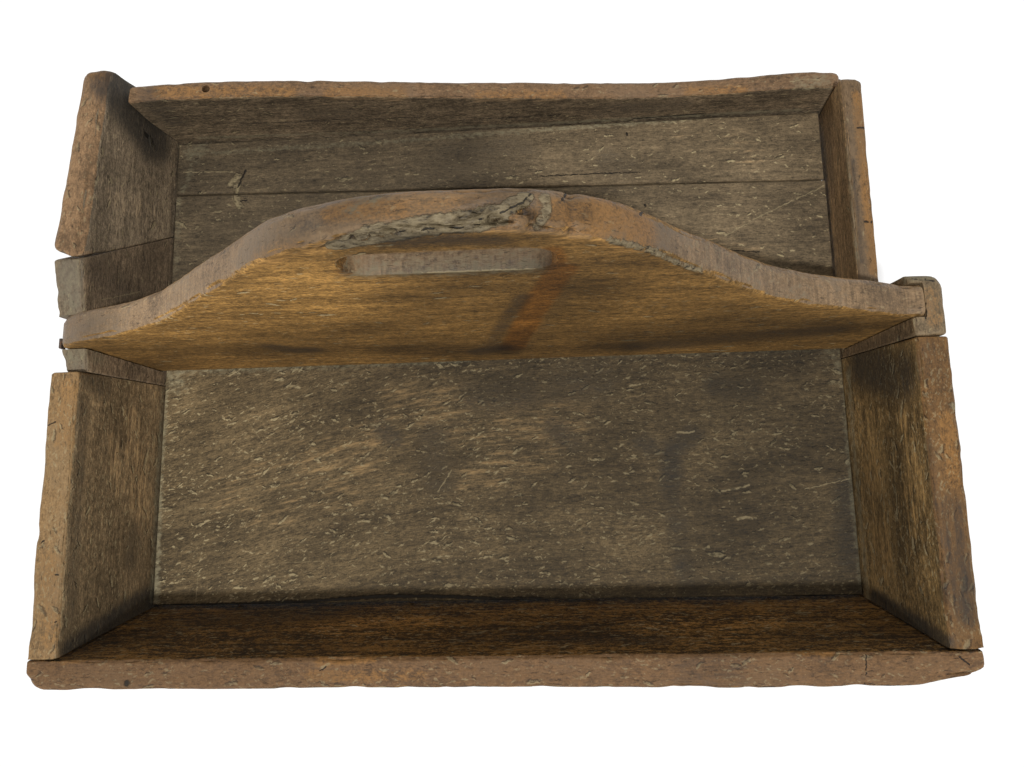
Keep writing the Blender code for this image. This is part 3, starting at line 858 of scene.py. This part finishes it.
def carve(piece, cutter):
    """Take a closed bmesh out of a piece for good."""
    bmesh.ops.recalc_face_normals(cutter, faces=cutter.faces)
    tool = add_mesh("cutter", cutter)
    boolean = piece.modifiers.new("carve", "BOOLEAN")
    boolean.operation = "DIFFERENCE"
    boolean.solver = "EXACT"
    boolean.object = tool
    graph = bpy.context.evaluated_depsgraph_get()
    carved = bpy.data.meshes.new_from_object(piece.evaluated_get(graph))
    piece.modifiers.clear()
    old = piece.data
    piece.data = carved
    bpy.data.meshes.remove(old)
    bpy.data.meshes.remove(tool.data)


def block(corners):
    """A closed six-sided bmesh from its corners: four round the bottom, then four round the top."""
    bm = bmesh.new()
    verts = [bm.verts.new(corner) for corner in corners]
    for face in ((3, 2, 1, 0), (4, 5, 6, 7), (0, 1, 5, 4), (1, 2, 6, 5), (2, 3, 7, 6), (3, 0, 4, 7)):
        bm.faces.new([verts[corner] for corner in face])
    return bm


# Dressing boards

def numbers(items, field, width=1, kind=float):
    found = np.empty(len(items) * width, kind)
    items.foreach_get(field, found)
    return found.reshape(-1, width) if width > 1 else found


def store(mesh, name, values, domain="POINT"):
    """Keep one number or one vector for each point or corner of a mesh."""
    kind, field = ("FLOAT_VECTOR", "vector") if values.ndim > 1 else ("FLOAT", "value")
    mesh.attributes.new(name, kind, domain).data.foreach_set(field, values.astype(np.float32).ravel())


def bulges(mesh, places, normals):
    """How sharply the surface curves outwards at each vertex, in bends to the metre."""
    count = len(places)
    ends = numbers(mesh.edges, "vertices", 2, np.int32)
    length = np.linalg.norm(places[ends[:, 0]] - places[ends[:, 1]], axis=1)
    ways = ((ends[:, 0], ends[:, 1]), (ends[:, 1], ends[:, 0]))

    def gather(values):
        return sum(np.bincount(one, values(other), count) for one, other in ways)

    near = np.maximum(gather(lambda other: np.ones(len(other))), 1)
    mean = np.stack([gather(lambda other: places[other, axis]) for axis in range(3)], 1) / near[:, None]
    span = gather(lambda other: length ** 2) / near
    bulge = 2 * np.einsum("ij,ij->i", places - mean, normals) / np.maximum(span, 1e-9)
    for _ in range(2):
        bulge = 0.5 * bulge + 0.5 * gather(lambda other: bulge[other]) / near
    return bulge


def dress(piece, node, axes, seed, tilt=None):
    """Give a finished mesh its wood coordinates, masks and material, and put it in its node's place."""
    mesh = piece.data
    mesh.shade_smooth()
    mesh.set_sharp_from_angle(angle=math.radians(48))
    places = numbers(mesh.vertices, "co", 3)
    normals = numbers(mesh.vertex_normals, "vector", 3)
    shift = np.random.default_rng(seed + 500).uniform(-1, 1, 3) * (3.0, 0.05, 0.05) + (0, 0.03, 0.07)

    def to_grain(world):
        grain = world[:, axes] + shift
        if tilt is not None:
            grain[:, 1] += tilt(world[:, 0])
        return grain

    grain = to_grain(places)
    bulge = bulges(mesh, places, normals)
    tree = tree_of(mesh)
    masks = {name: np.zeros(len(places)) for name in MASKS}
    masks["rim"] = smooth(0.42, 0.75, normals[:, 2]) * (axes != X_FLOOR)
    masks["wear"] = smooth(25, 110, bulge)
    # Concave places, which the wood darkens as painted shade
    masks["hollow_shade"] = smooth(30, 160, -bulge)
    for name, rows in MARKS[node].items():
        for reach, amount, *route in rows:
            away = from_line(places, [seen(tree, *pixel) for pixel in route])
            mark = amount * smooth(reach * MM, reach * MM * 0.2, away)
            masks[name] = masks[name] + mark if name == "tone" else np.maximum(masks[name], mark)
    for name, values in masks.items():
        store(mesh, name, values)
    store(mesh, "grain", grain)

    facing = np.abs(numbers(mesh.polygon_normals, "vector", 3)[:, axes]).argmax(1)
    facing = np.repeat(facing, numbers(mesh.polygons, "loop_total", 1, np.int32))[:, None]
    corner = grain[numbers(mesh.loops, "vertex_index", 1, np.int32)]
    sheet = np.where(facing == 0, corner[:, [1, 2, 0]], np.where(facing == 1, corner[:, [0, 2, 1]], corner))
    sheet += facing * 3.1 + 1.0
    sheet[:, 2] = 0.0
    store(mesh, "sheet", sheet, "CORNER")

    lines = []
    for kind, rows in LINES[node].items():
        for width, *route in rows:
            stops = to_grain(np.array([seen(tree, *pixel) for pixel in route]))
            lines += [(kind, width * MM, start, end) for start, end in zip(stops, stops[1:])]
    mesh.materials.clear()
    mesh.materials.append(wood(node + "_wood", lines, **LOOKS[node]))
    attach(piece, "root")
    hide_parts(node)


# Wood

def shades(colour, low=0.45, high=1.70, contrast=1.0):
    """Ramp stops from a dark to a light shade of a colour."""
    reach = 0.10 * contrast ** -0.5
    gains = (low * contrast ** -0.5, high * contrast ** 0.4)
    dark, light = (tuple(channel * gain for channel in colour) for gain in gains)
    return ((0.5 - reach, dark), (0.5, colour), (0.5 + reach, light))


def wood(name, lines, face, rim=None, scuffs=1.0, flecks=0.0, contrast=1.2, coarse=0.0, polish=0.0):
    """Old dry wood: fibres, worn rims, stains, dust and scuffs, from the masks that dress() gives a mesh,
    with painted shade in hollows and painted shadows beside chips and in some stains.

    Coarse turns fine grain into broad streaks. Polish makes rims smoother and bare wood more golden.
    """
    rim = rim or face
    material, graph, shader = new_material(name)
    grain = graph.attribute("grain", "Vector")
    sheet = graph.attribute("sheet", "Vector")

    # Fibres and figure
    drift = graph.noise(grain, (2.5, 9, 9), output=1)
    bent = graph.vector("MULTIPLY_ADD", drift, (0, 0.006, 0.006), grain)
    fine = graph.noise(bent, (250, 1050, 1050), 2.0, 0.75)
    strand = graph.noise(bent, (42, 330, 330), 3.0, 0.65)
    streak = graph.noise(bent, (6, 75, 75))
    blotch = graph.noise(grain, (15, 26, 26), 4.0, 0.6)
    mottle = graph.noise(grain, (240, 320, 320), 3.0, 0.7)
    grit = graph.noise(grain, (850, 950, 950), 1.0, 0.6)
    figure = graph.weigh(
        (fine, 0.30 - 0.10 * coarse), (grit, 0.16 - 0.04 * coarse), (strand, 0.22 + 0.08 * coarse),
        (mottle, 0.22 - 0.08 * coarse), (streak, 0.10 + 0.14 * coarse),
    )
    colour = graph.ramp(figure, shades(face, contrast=contrast))
    clouds = graph.ramp(blotch, ((0.34, (0.66,) * 3), (0.66, (1.34,) * 3)))
    colour = graph.mix(1.0, colour, clouds, "MULTIPLY")

    # Bare wood where the old skin has gone
    bright = tuple(lerp(channel * 1.8, full, 0.25 + 0.3 * polish) for channel, full in zip(face, GOLD))
    gold = graph.ramp(graph.weigh((fine, 0.6), (strand, 0.4)), shades(bright))
    bare = graph.patchy("bare", graph.weigh((strand, 0.6), (blotch, 0.4)), 2.6, 0.25, 0.75)
    loose = graph.weigh((fine, 0.40), (mottle, 0.35), (blotch, 0.25))
    bare = graph.most(graph.times(bare, 0.75), graph.times(graph.span(loose, 0.545, 0.61), flecks))
    colour = graph.mix(bare, colour, gold)

    # Worn rims and edges
    worn = graph.weigh(
        (mottle, 0.32 - 0.12 * polish), (blotch, 0.32 + 0.12 * polish), (fine, 0.20), (grit, 0.16)
    )
    if polish:
        teeth = graph.noise(grain, (600, 60, 60), 3.0, 0.6)
        combed = graph.times(graph.math("SUBTRACT", teeth, 0.5), graph.attribute("comb"), 0.7)
        worn = graph.add(worn, combed)
    rim_share = graph.patchy("rim", mottle, 0.9, 0.30, 0.60)
    glow = graph.times(graph.patchy("bare", worn, 3.2, 0.15, 0.85), 0.72)
    orange = graph.ramp(worn, shades(AMBER, 0.40, 1.30))
    rim_colour = graph.mix(glow, graph.ramp(worn, shades(rim, 0.46, 1.62)), orange)
    grey = tuple(channel * gain for channel, gain in zip(rim, BLOOM_TINT))
    bloom = graph.span(graph.weigh((blotch, 0.7), (mottle, 0.3)), 0.49, 0.60)
    bloom = graph.times(bloom, 0.45 + 0.15 * polish)
    colour = graph.mix(rim_share, colour, graph.mix(bloom, rim_colour, grey))
    edge = graph.patchy("wear", mottle, 1.8, 0.50, 1.0)
    colour = graph.mix(graph.times(edge, 0.40), colour, tuple(channel * 1.5 for channel in rim))

    # Torn fibres
    torn = graph.patchy("torn", mottle, 1.3, 0.30, 0.60)
    shred = graph.noise(bent, (150, 440, 440), 3.0, 0.66)
    colour = graph.mix(torn, colour, graph.ramp(shred, SHREDS))

    # Scuffs, chips and pores, with painted shadows beside the chips
    warp = graph.noise(sheet, (380, 380, 380), 2.0, 0.6, output=1)
    ragged = graph.vector("MULTIPLY_ADD", warp, (0.0030, 0.0030, 0), sheet)
    patch = graph.span(graph.noise(sheet, (22, 34, 0)), 0.36, 0.62, 0.25, 1.0)

    def scatter(shift, *form, share, vector=ragged):
        return graph.group(marks_tree, (graph.vector("ADD", vector, shift), *form, share))

    def scuffed(shift, *form, share):
        return scatter(shift, *form, share=graph.times(patch, share * scuffs))

    specks = scuffed((0, 0, 0), 330.0, 0.40, 0.19, 1.6, share=0.50)
    short = scuffed((5, 8, 0), 165.0, 0.46, 0.13, 1.2, share=0.70)
    # Each medium chip has a copy shifted a millimetre aside: a painted shadow beside the chip
    medium, under = (scuffed((7, low, 0), 80.0, 0.40, 0.085, 1.5, share=0.50) for low in (3, 2.9990))
    # Each flake has the same painted shadow beside it
    flakes, flake_shadows = (scuffed((2, low, 0), 34.0, 0.24, 0.055, 1.4, share=0.30) for low in (5, 4.9988))
    long = scatter((3, 9, 0), 21.0, 0.50, 0.0060, 3.1, share=0.34 * scuffs, vector=sheet)
    pores = scatter((11, 2, 0), 210.0, 0.5, 0.05, 0.12, share=0.45)
    strengths = ((specks, 0.50), (short, 0.62), (medium, 0.75), (flakes, 0.62), (long, 0.30))
    marks = graph.most(*(graph.times(mark, strength) for mark, strength in strengths))
    broken = graph.span(mottle, 0.38, 0.56, 0.25, 1.0)
    marks = graph.times(marks, broken, graph.add(graph.times(rim_share, -0.35 - 0.25 * polish), 1.0))
    # Pores, and the painted shadows beside chips, darkened together
    pits = graph.most(pores, under, flake_shadows)
    colour = graph.mix(graph.times(pits, 0.55), colour, CREVICE_AND_SHADE)
    colour = graph.mix(marks, colour, STRAW)

    # Stains, dust and hollows: real stains and some painted shadow, dust, and painted shade in the hollows
    cloud = graph.weigh((blotch, 0.4), (strand, 0.35), (mottle, 0.25))
    # Real stains, and the front wall's painted shadow on the end boards, darken towards a near black
    stain_and_shade = graph.patchy("stain_and_shade", cloud, 3.0, 0.12, 1.0)
    colour = graph.mix(graph.times(stain_and_shade, 0.80), colour, SOOT_AND_SHADE)
    russet = graph.patchy("russet", cloud, 1.6, 0.12, 0.80)
    colour = graph.mix(russet, colour, RUSSET_TINT, "MULTIPLY")
    dust = graph.patchy("dust", mottle, 1.8, 0.20, 0.95)
    colour = graph.mix(graph.times(dust, 0.65), colour, DUST)
    # Painted shade: concave places darken towards near black, less on torn fibres
    hollow_shade = graph.times(graph.attribute("hollow_shade"), graph.add(graph.times(torn, -0.4), 0.6))
    colour = graph.mix(hollow_shade, colour, CREVICE_AND_SHADE)
    colour = graph.scaled(colour, graph.add(graph.attribute("tone"), 1.0))

    # Single lines
    sway = graph.noise(grain, (330, 330, 330), output=1)
    sway = graph.vector("SUBTRACT", sway, (0.5, 0.5, 0.5))
    swayed = graph.vector("MULTIPLY_ADD", sway, (0.0022, 0.0022, 0.0022), grain)
    found = {"chip": [0.0], "scratch": [0.0], "crack": [0.0]}
    for kind, width, start, end in lines:
        found[kind].append(graph.group(line_tree, (swayed, start, end, width)))
    chip, scratch, crack = (graph.most(*masks) for masks in found.values())
    colour = graph.mix(graph.times(chip, broken, 0.48), colour, STRAW)
    colour = graph.mix(graph.times(scratch, 0.45), colour, STRAW)
    colour = graph.mix(graph.times(crack, 0.92), colour, CREVICE_AND_SHADE)

    height = graph.weigh(
        (fine, 0.45), (strand, 0.30), (mottle, 0.30), (marks, 0.30), (pits, -0.30),
        (graph.times(torn, shred), 2.2), (crack, -1.2),
    )
    graph.feed(shader["Base Color"], colour)
    graph.feed(shader["Normal"], graph.bump(height, 0.0006))
    rubbed = graph.times(rim_share, -0.10 - 0.12 * polish)
    shine = graph.add(graph.times(fine, 0.25), rubbed, graph.times(dust, 0.15), 0.62)
    graph.feed(shader["Roughness"], shine)
    shader["Specular IOR Level"].default_value = 0.30
    return material


def rusted_iron():
    material, graph, shader = new_material("rusted_iron")
    place = graph.attribute("place", "Vector")
    rust = graph.noise(place, (900, 900, 900), 4.0, 0.65)
    pits = graph.noise(place, (2600, 2600, 2600), 2.0, 0.6)
    graph.feed(shader["Base Color"], graph.ramp(rust, RUSTS))
    graph.feed(shader["Metallic"], graph.span(rust, 0.40, 0.60, 0.75, 0.05))
    graph.feed(shader["Roughness"], graph.span(rust, 0.35, 0.65, 0.42, 0.85))
    graph.feed(shader["Normal"], graph.bump(graph.weigh((rust, 1.0), (pits, 0.5)), 0.0004))
    return material


# Faces of the boards, as places at a height

def sloping(foot, slope=0.0):
    """A face that is at its foot at the floor's top, and leans from there."""
    return lambda z: foot + slope * (z - FLOOR_TOP)


front_inner = sloping(FRONT_FACE, -FRONT_LEAN)
left_inner = sloping(-HALF_LENGTH, -LEFT_LEAN)
right_inner = sloping(HALF_LENGTH, RIGHT_LEAN)
low_end_inner = sloping(HALF_LENGTH)
left_joint = sloping(HANDLE_FRONT - LEFT_CHEEK, -JOINT_SLANT)
right_joint = sloping(HANDLE_FRONT - RIGHT_CHEEK, -JOINT_SLANT)
left_split = sloping(lerp(HANDLE_BACK, BACK_FACE, SPLIT_SHARE), -SPLIT_SLANT)
left_rear = sloping(BACK_FACE + BACK_THICK + BACK_OVERHANG)
block_back = sloping(HANDLE_BACK + BLOCK_CHEEK)


def split_gape(z, share):
    """How far the split opens at a height: nothing on the inner face, most on the outer."""
    return SPLIT_FLARE * z * smooth(0.2, 0.9, share)


# Boards

def rim_radii(size, inner, outer, foot=0.0010, ends=0.0009, outer_ends=None):
    """Radii of a wall's edges: its rim's inner and outer edges, its foot's, and its ends' on both faces."""
    def radii(flat):
        share = smooth(0.3, 0.7, flat[:, 2] / size[2])
        rim = lerp(inner, outer, share)
        long = lerp(foot, rim, smooth(size[1] - 0.030, size[1] - 0.006, flat[:, 1]))
        across = lerp(ends, outer_ends or ends, share)
        return np.stack([across, long, np.maximum(long, across * share)], 1)
    return radii


def wall_lines(size, pitch=0.0022):
    return (
        steps(size[0], FINE, pitch, 0.007, 0.007),
        steps(size[1], FINE, 0.0028, 0.004, 0.012),
        steps(size[2], 0.0009, 0.0015, 0.0055, 0.0055),
    )


def front_wall():
    low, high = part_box("front_wall")
    size = (high.x - low.x, RIM, FRONT_THICK)

    def place(a, b, c):
        x = lerp(left_inner(b) - END_THICK + FRONT_WALL_INSET, right_inner(b) + END_THICK, a / size[0])
        swell = FRONT_SWELL * smooth(0.45, 0.80, a / size[0]) * smooth(0.035, 0.085, b)
        return np.stack([x, front_inner(b) - c * (1 + swell / FRONT_THICK), b], 1)

    edges = rim_radii(size, inner=0.0022, outer=0.0030)

    def radii(flat):
        """Round outer corners, and a tight rim where the end boards meet the wall."""
        near = smooth(0.034, 0.022, np.minimum(flat[:, 0], size[0] - flat[:, 0]))
        outer = smooth(0.35, 0.65, flat[:, 2] / size[2])
        ends = lerp(np.array(TIGHT_RADII), np.array(CORNER_RADII), outer[:, None])
        return lerp(edges(flat), ends, near[:, None])

    def chipped_corner(flat):
        a, b, c = flat.T
        near = smooth(size[0] - CHIP_LENGTH, size[0] - 0.003, a)
        return CHIP_DEPTH * near * smooth(0.4, 0.9, c / size[2]) * smooth(0.04, 0.08, b)

    piece = worn_board(
        "front_board", size, wall_lines(size), place, radii,
        warp=WALL_WARP, nicks=60, seed=11, extra=chipped_corner,
    )
    dress(piece, "front_wall", X_WALL, 11)


def end_piece(
    name, node, seed, inner_face, side, front, back, tops, thick=END_THICK, corner=0.0, nicks=16,
    notch=None, gape=None, tight=False, flare=0.0, reach=0.040, **edges,
):
    """One board of an end wall, between two faces that cross the end.

    Tops are its rim's heights at both ends, corner is the round of its rear one, and flare is how far its
    front end leans out, over a reach.
    """
    size = (abs(back(FLOOR_TOP) - front(FLOOR_TOP)), max(tops), thick)

    def place(a, b, c):
        height = lerp(tops[0], tops[1], a / size[0])
        if corner:
            over = np.clip((a - (size[0] - corner)) / corner, 0, 1)
            height = height - corner * (1 - np.sqrt(1 - over ** 2 * 0.999))
        z = b * (height / size[1])
        spread = (RIM_SPREAD + flare * smooth(reach, 0.0, a)) * smooth(0.035, 0.085, z)
        x = inner_face(z) + side * c * (1 + spread / thick)
        start = front(z) if gape is None else front(z) + gape(z, c / thick)
        return np.stack([x, lerp(start, back(z), a / size[0]), z], 1)

    loose_radii = rim_radii(size, **{"inner": 0.0022, "outer": 0.0038, **edges})

    def radii(flat):
        """A rim that turns tight towards the wall its front end meets."""
        near = smooth(0.018, 0.004, flat[:, 0]) * tight
        return lerp(loose_radii(flat), np.array(TIGHT_RADII), near[:, None])

    piece = worn_board(name, size, wall_lines(size, 0.0020), place, radii, WALL_WARP, nicks, seed)
    if notch is not None:
        carve(piece, notch)
    dress(piece, node, Y_WALL, seed)


def handle_notch(start, end):
    """Room for the end of the handle board, between two places in X."""
    front, back = HANDLE_FRONT - GAP, HANDLE_BACK + GAP
    corners = []
    for z in (FLOOR_TOP, RIM + 0.02):
        corners += [(start(z), front, z), (end(z), front, z), (end(z), back, z), (start(z), back, z)]
    return block(corners)


def left_end():
    end_piece(
        "left_front_board", "left_end_front", 21, left_inner, -1,
        lambda z: front_inner(z) + GAP, lambda z: left_joint(z) - GAP, (RIM, RIM),
        nicks=26, tight=True, flare=-0.0023, ends=0.0006,
    )
    end_piece(
        "left_middle_board", "left_end_middle", 22, left_inner, -1,
        left_joint, left_split, LEFT_MIDDLE_TOPS,
        flare=-0.0045, reach=0.030, ends=0.0016, outer_ends=0.0040,
        notch=handle_notch(lambda z: left_inner(z) - END_THICK - 0.01, lambda z: left_inner(z) + 0.01),
    )
    end_piece(
        "left_back_board", "left_end_back", 23, left_inner, -1,
        lambda z: left_split(z) + GAP, left_rear, LEFT_BACK_TOPS,
        corner=0.008, inner=0.0065, outer=0.0055, ends=0.0012, outer_ends=0.0045,
        flare=0.0020, gape=split_gape,
    )


def right_end():
    end_piece(
        "right_front_board", "right_end_front", 31, right_inner, 1,
        lambda z: front_inner(z) + GAP, lambda z: right_joint(z) - GAP, (RIM, RIM),
        nicks=26, tight=True, flare=-0.0006, ends=0.0006,
    )
    end_piece(
        "right_block", "right_end_middle", 32, right_inner, 1, right_joint, block_back, (RIM, RIM),
        corner=0.010, nicks=5, ends=0.0018,
        notch=handle_notch(lambda z: right_inner(z) - 0.01, lambda z: right_inner(z) + HOUSING_DEPTH),
    )
    end_piece(
        "right_back_board", "right_end_back", 33, low_end_inner, 1,
        lambda z: block_back(z) + GAP, sloping(BACK_FACE - GAP), LOW_TOPS,
        LOW_END_THICK, corner=0.007, nicks=36, outer_ends=0.0050,
    )


def upright(top, foot, full, kept):
    """Heights in a board whose top rises and falls: the last part below the top keeps its own scale."""
    def height(a, b):
        rise = top(a) - foot
        low = b * (rise - kept) / (full - kept)
        return foot + np.where(b < full - kept, low, rise - (full - b))
    return height


def back_wall():
    low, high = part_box("back_wall")
    rim = rim_profile("back_wall", BACK_FACE + BACK_THICK * 0.4)
    size = (high.x - low.x, high.z, BACK_THICK)
    height = upright(lambda a: rim(low.x + a), foot=0.0, full=size[1], kept=0.014)

    def place(a, b, c):
        z = height(a, b)
        left = left_inner(z) + GAP + BACK_LEFT_GAP * smooth(0.040, 0.090, z)
        return np.stack([lerp(left, high.x, a / size[0]), BACK_FACE + c, z], 1)

    radii = rim_radii(size, inner=0.0020, outer=0.0036, ends=0.0022)
    piece = worn_board("back_board", size, wall_lines(size), place, radii, WALL_WARP, nicks=30, seed=41)
    hole = bmesh.new()
    bmesh.ops.create_cone(
        hole, cap_ends=True, segments=14,
        radius1=OLD_HOLE_RADIUS * 0.7, radius2=OLD_HOLE_RADIUS, depth=2 * OLD_HOLE_DEPTH,
    )
    bmesh.ops.translate(hole, verts=hole.verts, vec=OLD_HOLE)
    carve(piece, hole)
    dress(piece, "back_wall", X_WALL, 41)


def handle_board():
    low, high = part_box("handle_board")
    rim = rim_profile("handle_board", (HANDLE_FRONT + HANDLE_BACK) / 2)
    size = (high.x - low.x, high.z - low.z, high.y - low.y)

    def top(a):
        return rim(low.x + np.minimum(a, size[0] - HOUSED_END))

    height = upright(top, foot=low.z, full=size[1], kept=0.016)

    def place(a, b, c):
        z = height(a, b)
        end_z = np.minimum(z, RIM)
        left = left_inner(end_z) - END_THICK + HANDLE_INSET
        right = right_inner(end_z) + HOUSING_DEPTH - GAP
        return np.stack([lerp(left, right, a / size[0]), HANDLE_FRONT + c, z], 1)

    tree = tree_of(nodes["handle_board"].data)
    torn_from, torn_to, split, notch = (
        seen(tree, *pixel)[0] - low.x for pixel in (TORN_FROM, TORN_TO, CREST_SPLIT, CREST_NOTCH)
    )

    def tears(flat):
        a, b, c = flat.T
        along = smooth(torn_from - 0.010, torn_from + 0.020, a) * smooth(torn_to + 0.004, torn_to - 0.004, a)
        share = (a - torn_from) / (torn_to - torn_from)
        drop = lerp(0.0065, 0.0010, smooth(0.0, 0.9, share))
        arris = np.hypot(size[1] - drop - b, c - lerp(0.0, 0.009, smooth(0.5, 1.0, share)))
        rough = noise(flat, (0.0065, 0.0030, 0.0030), 57, 2)
        depth = along * smooth(0.0075, 0.0020, arris) * lerp(*TEAR_DEPTHS, smooth(0.35, 0.70, rough))
        crest = smooth(size[1] - 0.008, size[1] - 0.002, b)
        at_split, at_notch = (np.exp(-((a - middle) / CREST_CUT_WIDTH) ** 2) for middle in (split, notch))
        depth += crest * CREST_SPLIT_DEPTH * at_split * smooth(0.016, 0.004, c)
        depth += crest * CREST_NOTCH_DEPTH * at_notch
        tail = smooth(notch + 0.03, notch + 0.06, a) * smooth(size[2] - 0.008, size[2] - 0.002, c)
        return depth + crest * tail * RIPPLE_DEPTH * noise(flat, (0.008, 0.05, 0.05), 58)

    fine = np.arange(torn_from - 0.01, notch + 0.01, 0.0009)
    lines = (
        np.unique(np.concatenate([steps(size[0], FINE, 0.0022, 0.012, 0.012), fine])),
        steps(size[1], FINE, 0.0040, 0.003, 0.016),
        steps(size[2], 0.0010, 0.0018, 0.0070, 0.0070),
    )
    edges = rim_radii(size, inner=0.0045, outer=0.0055, ends=0.0030)

    def radii(flat):
        """A round left end, and a square right end that fills its housing."""
        made = edges(flat)
        made[:, 0] = lerp(0.0030, 0.0008, smooth(0.3, 0.7, flat[:, 0] / size[0]))
        return made

    piece = worn_board("handle", size, lines, place, radii, HANDLE_WARP, nicks=60, seed=51, extra=tears)
    carve(piece, hand_slot())
    dress(piece, "handle_board", X_WALL, 51)


def hand_slot():
    """A slot with round ends through the handle board, a little wider at both faces."""
    middle = Vector((SLOT_SHIFT, 0, HANDLE_CREST - SLOT_RAIL - SLOT_RADIUS))
    thick = HANDLE_BACK - HANDLE_FRONT
    flares = ((-0.5, 0.003), (0, 0.0005), (0.03, 0), (0.97, 0), (1, 0.0005), (1.5, 0.003))
    sides = 56
    bm = bmesh.new()
    rows = []
    for share, flare in flares:
        radius = SLOT_RADIUS + flare
        row = []
        for step in range(sides):
            angle = 2 * math.pi * (step + 0.5) / sides
            right = math.cos(angle) > 0
            straight = SLOT_STRAIGHT + SLOT_WEAR["right" if right else "left"]
            x = math.cos(angle) * radius + (straight if right else -straight)
            place = Vector((x, HANDLE_FRONT + share * thick, math.sin(angle) * radius))
            row.append(bm.verts.new(middle + place))
        rows.append(row)
    for one, other in zip(rows, rows[1:]):
        for step in range(sides):
            after = (step + 1) % sides
            bm.faces.new((one[step], one[after], other[after], other[step]))
    bm.faces.new(rows[0])
    bm.faces.new(rows[-1][::-1])
    return bm


def floor_seam(x):
    return BACK_FACE - SEAM_INSET - SEAM_SLANT * (0.5 + x / (2 * HALF_LENGTH))


def floor_edges(flat):
    return np.full((len(flat), 3), FLOOR_EDGE)


def floor_boards():
    middle = (HANDLE_FRONT + HANDLE_BACK) / 2
    runs = {
        "floor_front": (
            61, 0.0, lambda x, z: front_inner(z) + FLOOR_FRONT_GAP, lambda x, z: middle - GAP + 0 * x
        ),
        "floor_middle": (62, 0.0, lambda x, z: middle + 0 * x, lambda x, z: floor_seam(x) - GAP),
        "floor_back": (
            63, 0.0006, lambda x, z: floor_seam(x), lambda x, z: BACK_FACE - FLOOR_BACK_GAP + 0 * x
        ),
    }
    for node, (seed, short, front, back) in runs.items():
        low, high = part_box(node)
        size = (high.x - low.x, high.y - low.y, FLOOR_TOP)

        def place(a, b, c):
            right = right_inner(c) - FLOOR_SIDE_GAP - short * smooth(0.004, 0.008, c)
            x = lerp(left_inner(c) + FLOOR_SIDE_GAP, right, a / size[0])
            return np.stack([x, lerp(front(x, c), back(x, c), b / size[1]), c], 1)

        lines = (
            steps(size[0], FINE, 0.0032, 0.004, 0.004),
            steps(size[1], FINE, 0.0030, 0.004, 0.004),
            steps(size[2], 0.0011, 0.0022, 0.0030, 0.0030),
        )
        piece = worn_board(node + "_board", size, lines, place, floor_edges, FLOOR_WARP, 0, seed)
        tilt = front_floor_tilt if node == "floor_front" else None
        dress(piece, node, X_FLOOR, seed, tilt)


def front_floor_tilt(x):
    """Grain of the front floor board: it climbs towards the back from left to right, less and less."""
    share = smooth(-HALF_LENGTH, 0.10, x)
    return -lerp(0.20 * x, 0.04 * x - 0.004, share)


# Nails

def nails():
    iron = rusted_iron()
    for node in sorted(name for name in nodes if "nail" in name):
        bm = bmesh.new()
        bm.from_mesh(nodes[node].data)
        bmesh.ops.remove_doubles(bm, verts=bm.verts, dist=NAIL_WELD)
        bmesh.ops.bevel(
            bm, geom=list(bm.edges), offset=NAIL_BEVEL, segments=2, profile=0.6, affect="EDGES"
        )
        piece = add_mesh("worn_" + node, bm)
        mesh = piece.data
        mesh.shade_smooth()
        store(mesh, "place", numbers(mesh.vertices, "co", 3))
        mesh.materials.clear()
        mesh.materials.append(iron)
        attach(piece, "root")
        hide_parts(node)


marks_tree = strokes_group()
line_tree = line_group()
make_camera()
make_light()
make_ground()
front_wall()
left_end()
right_end()
back_wall()
handle_board()
floor_boards()
nails()
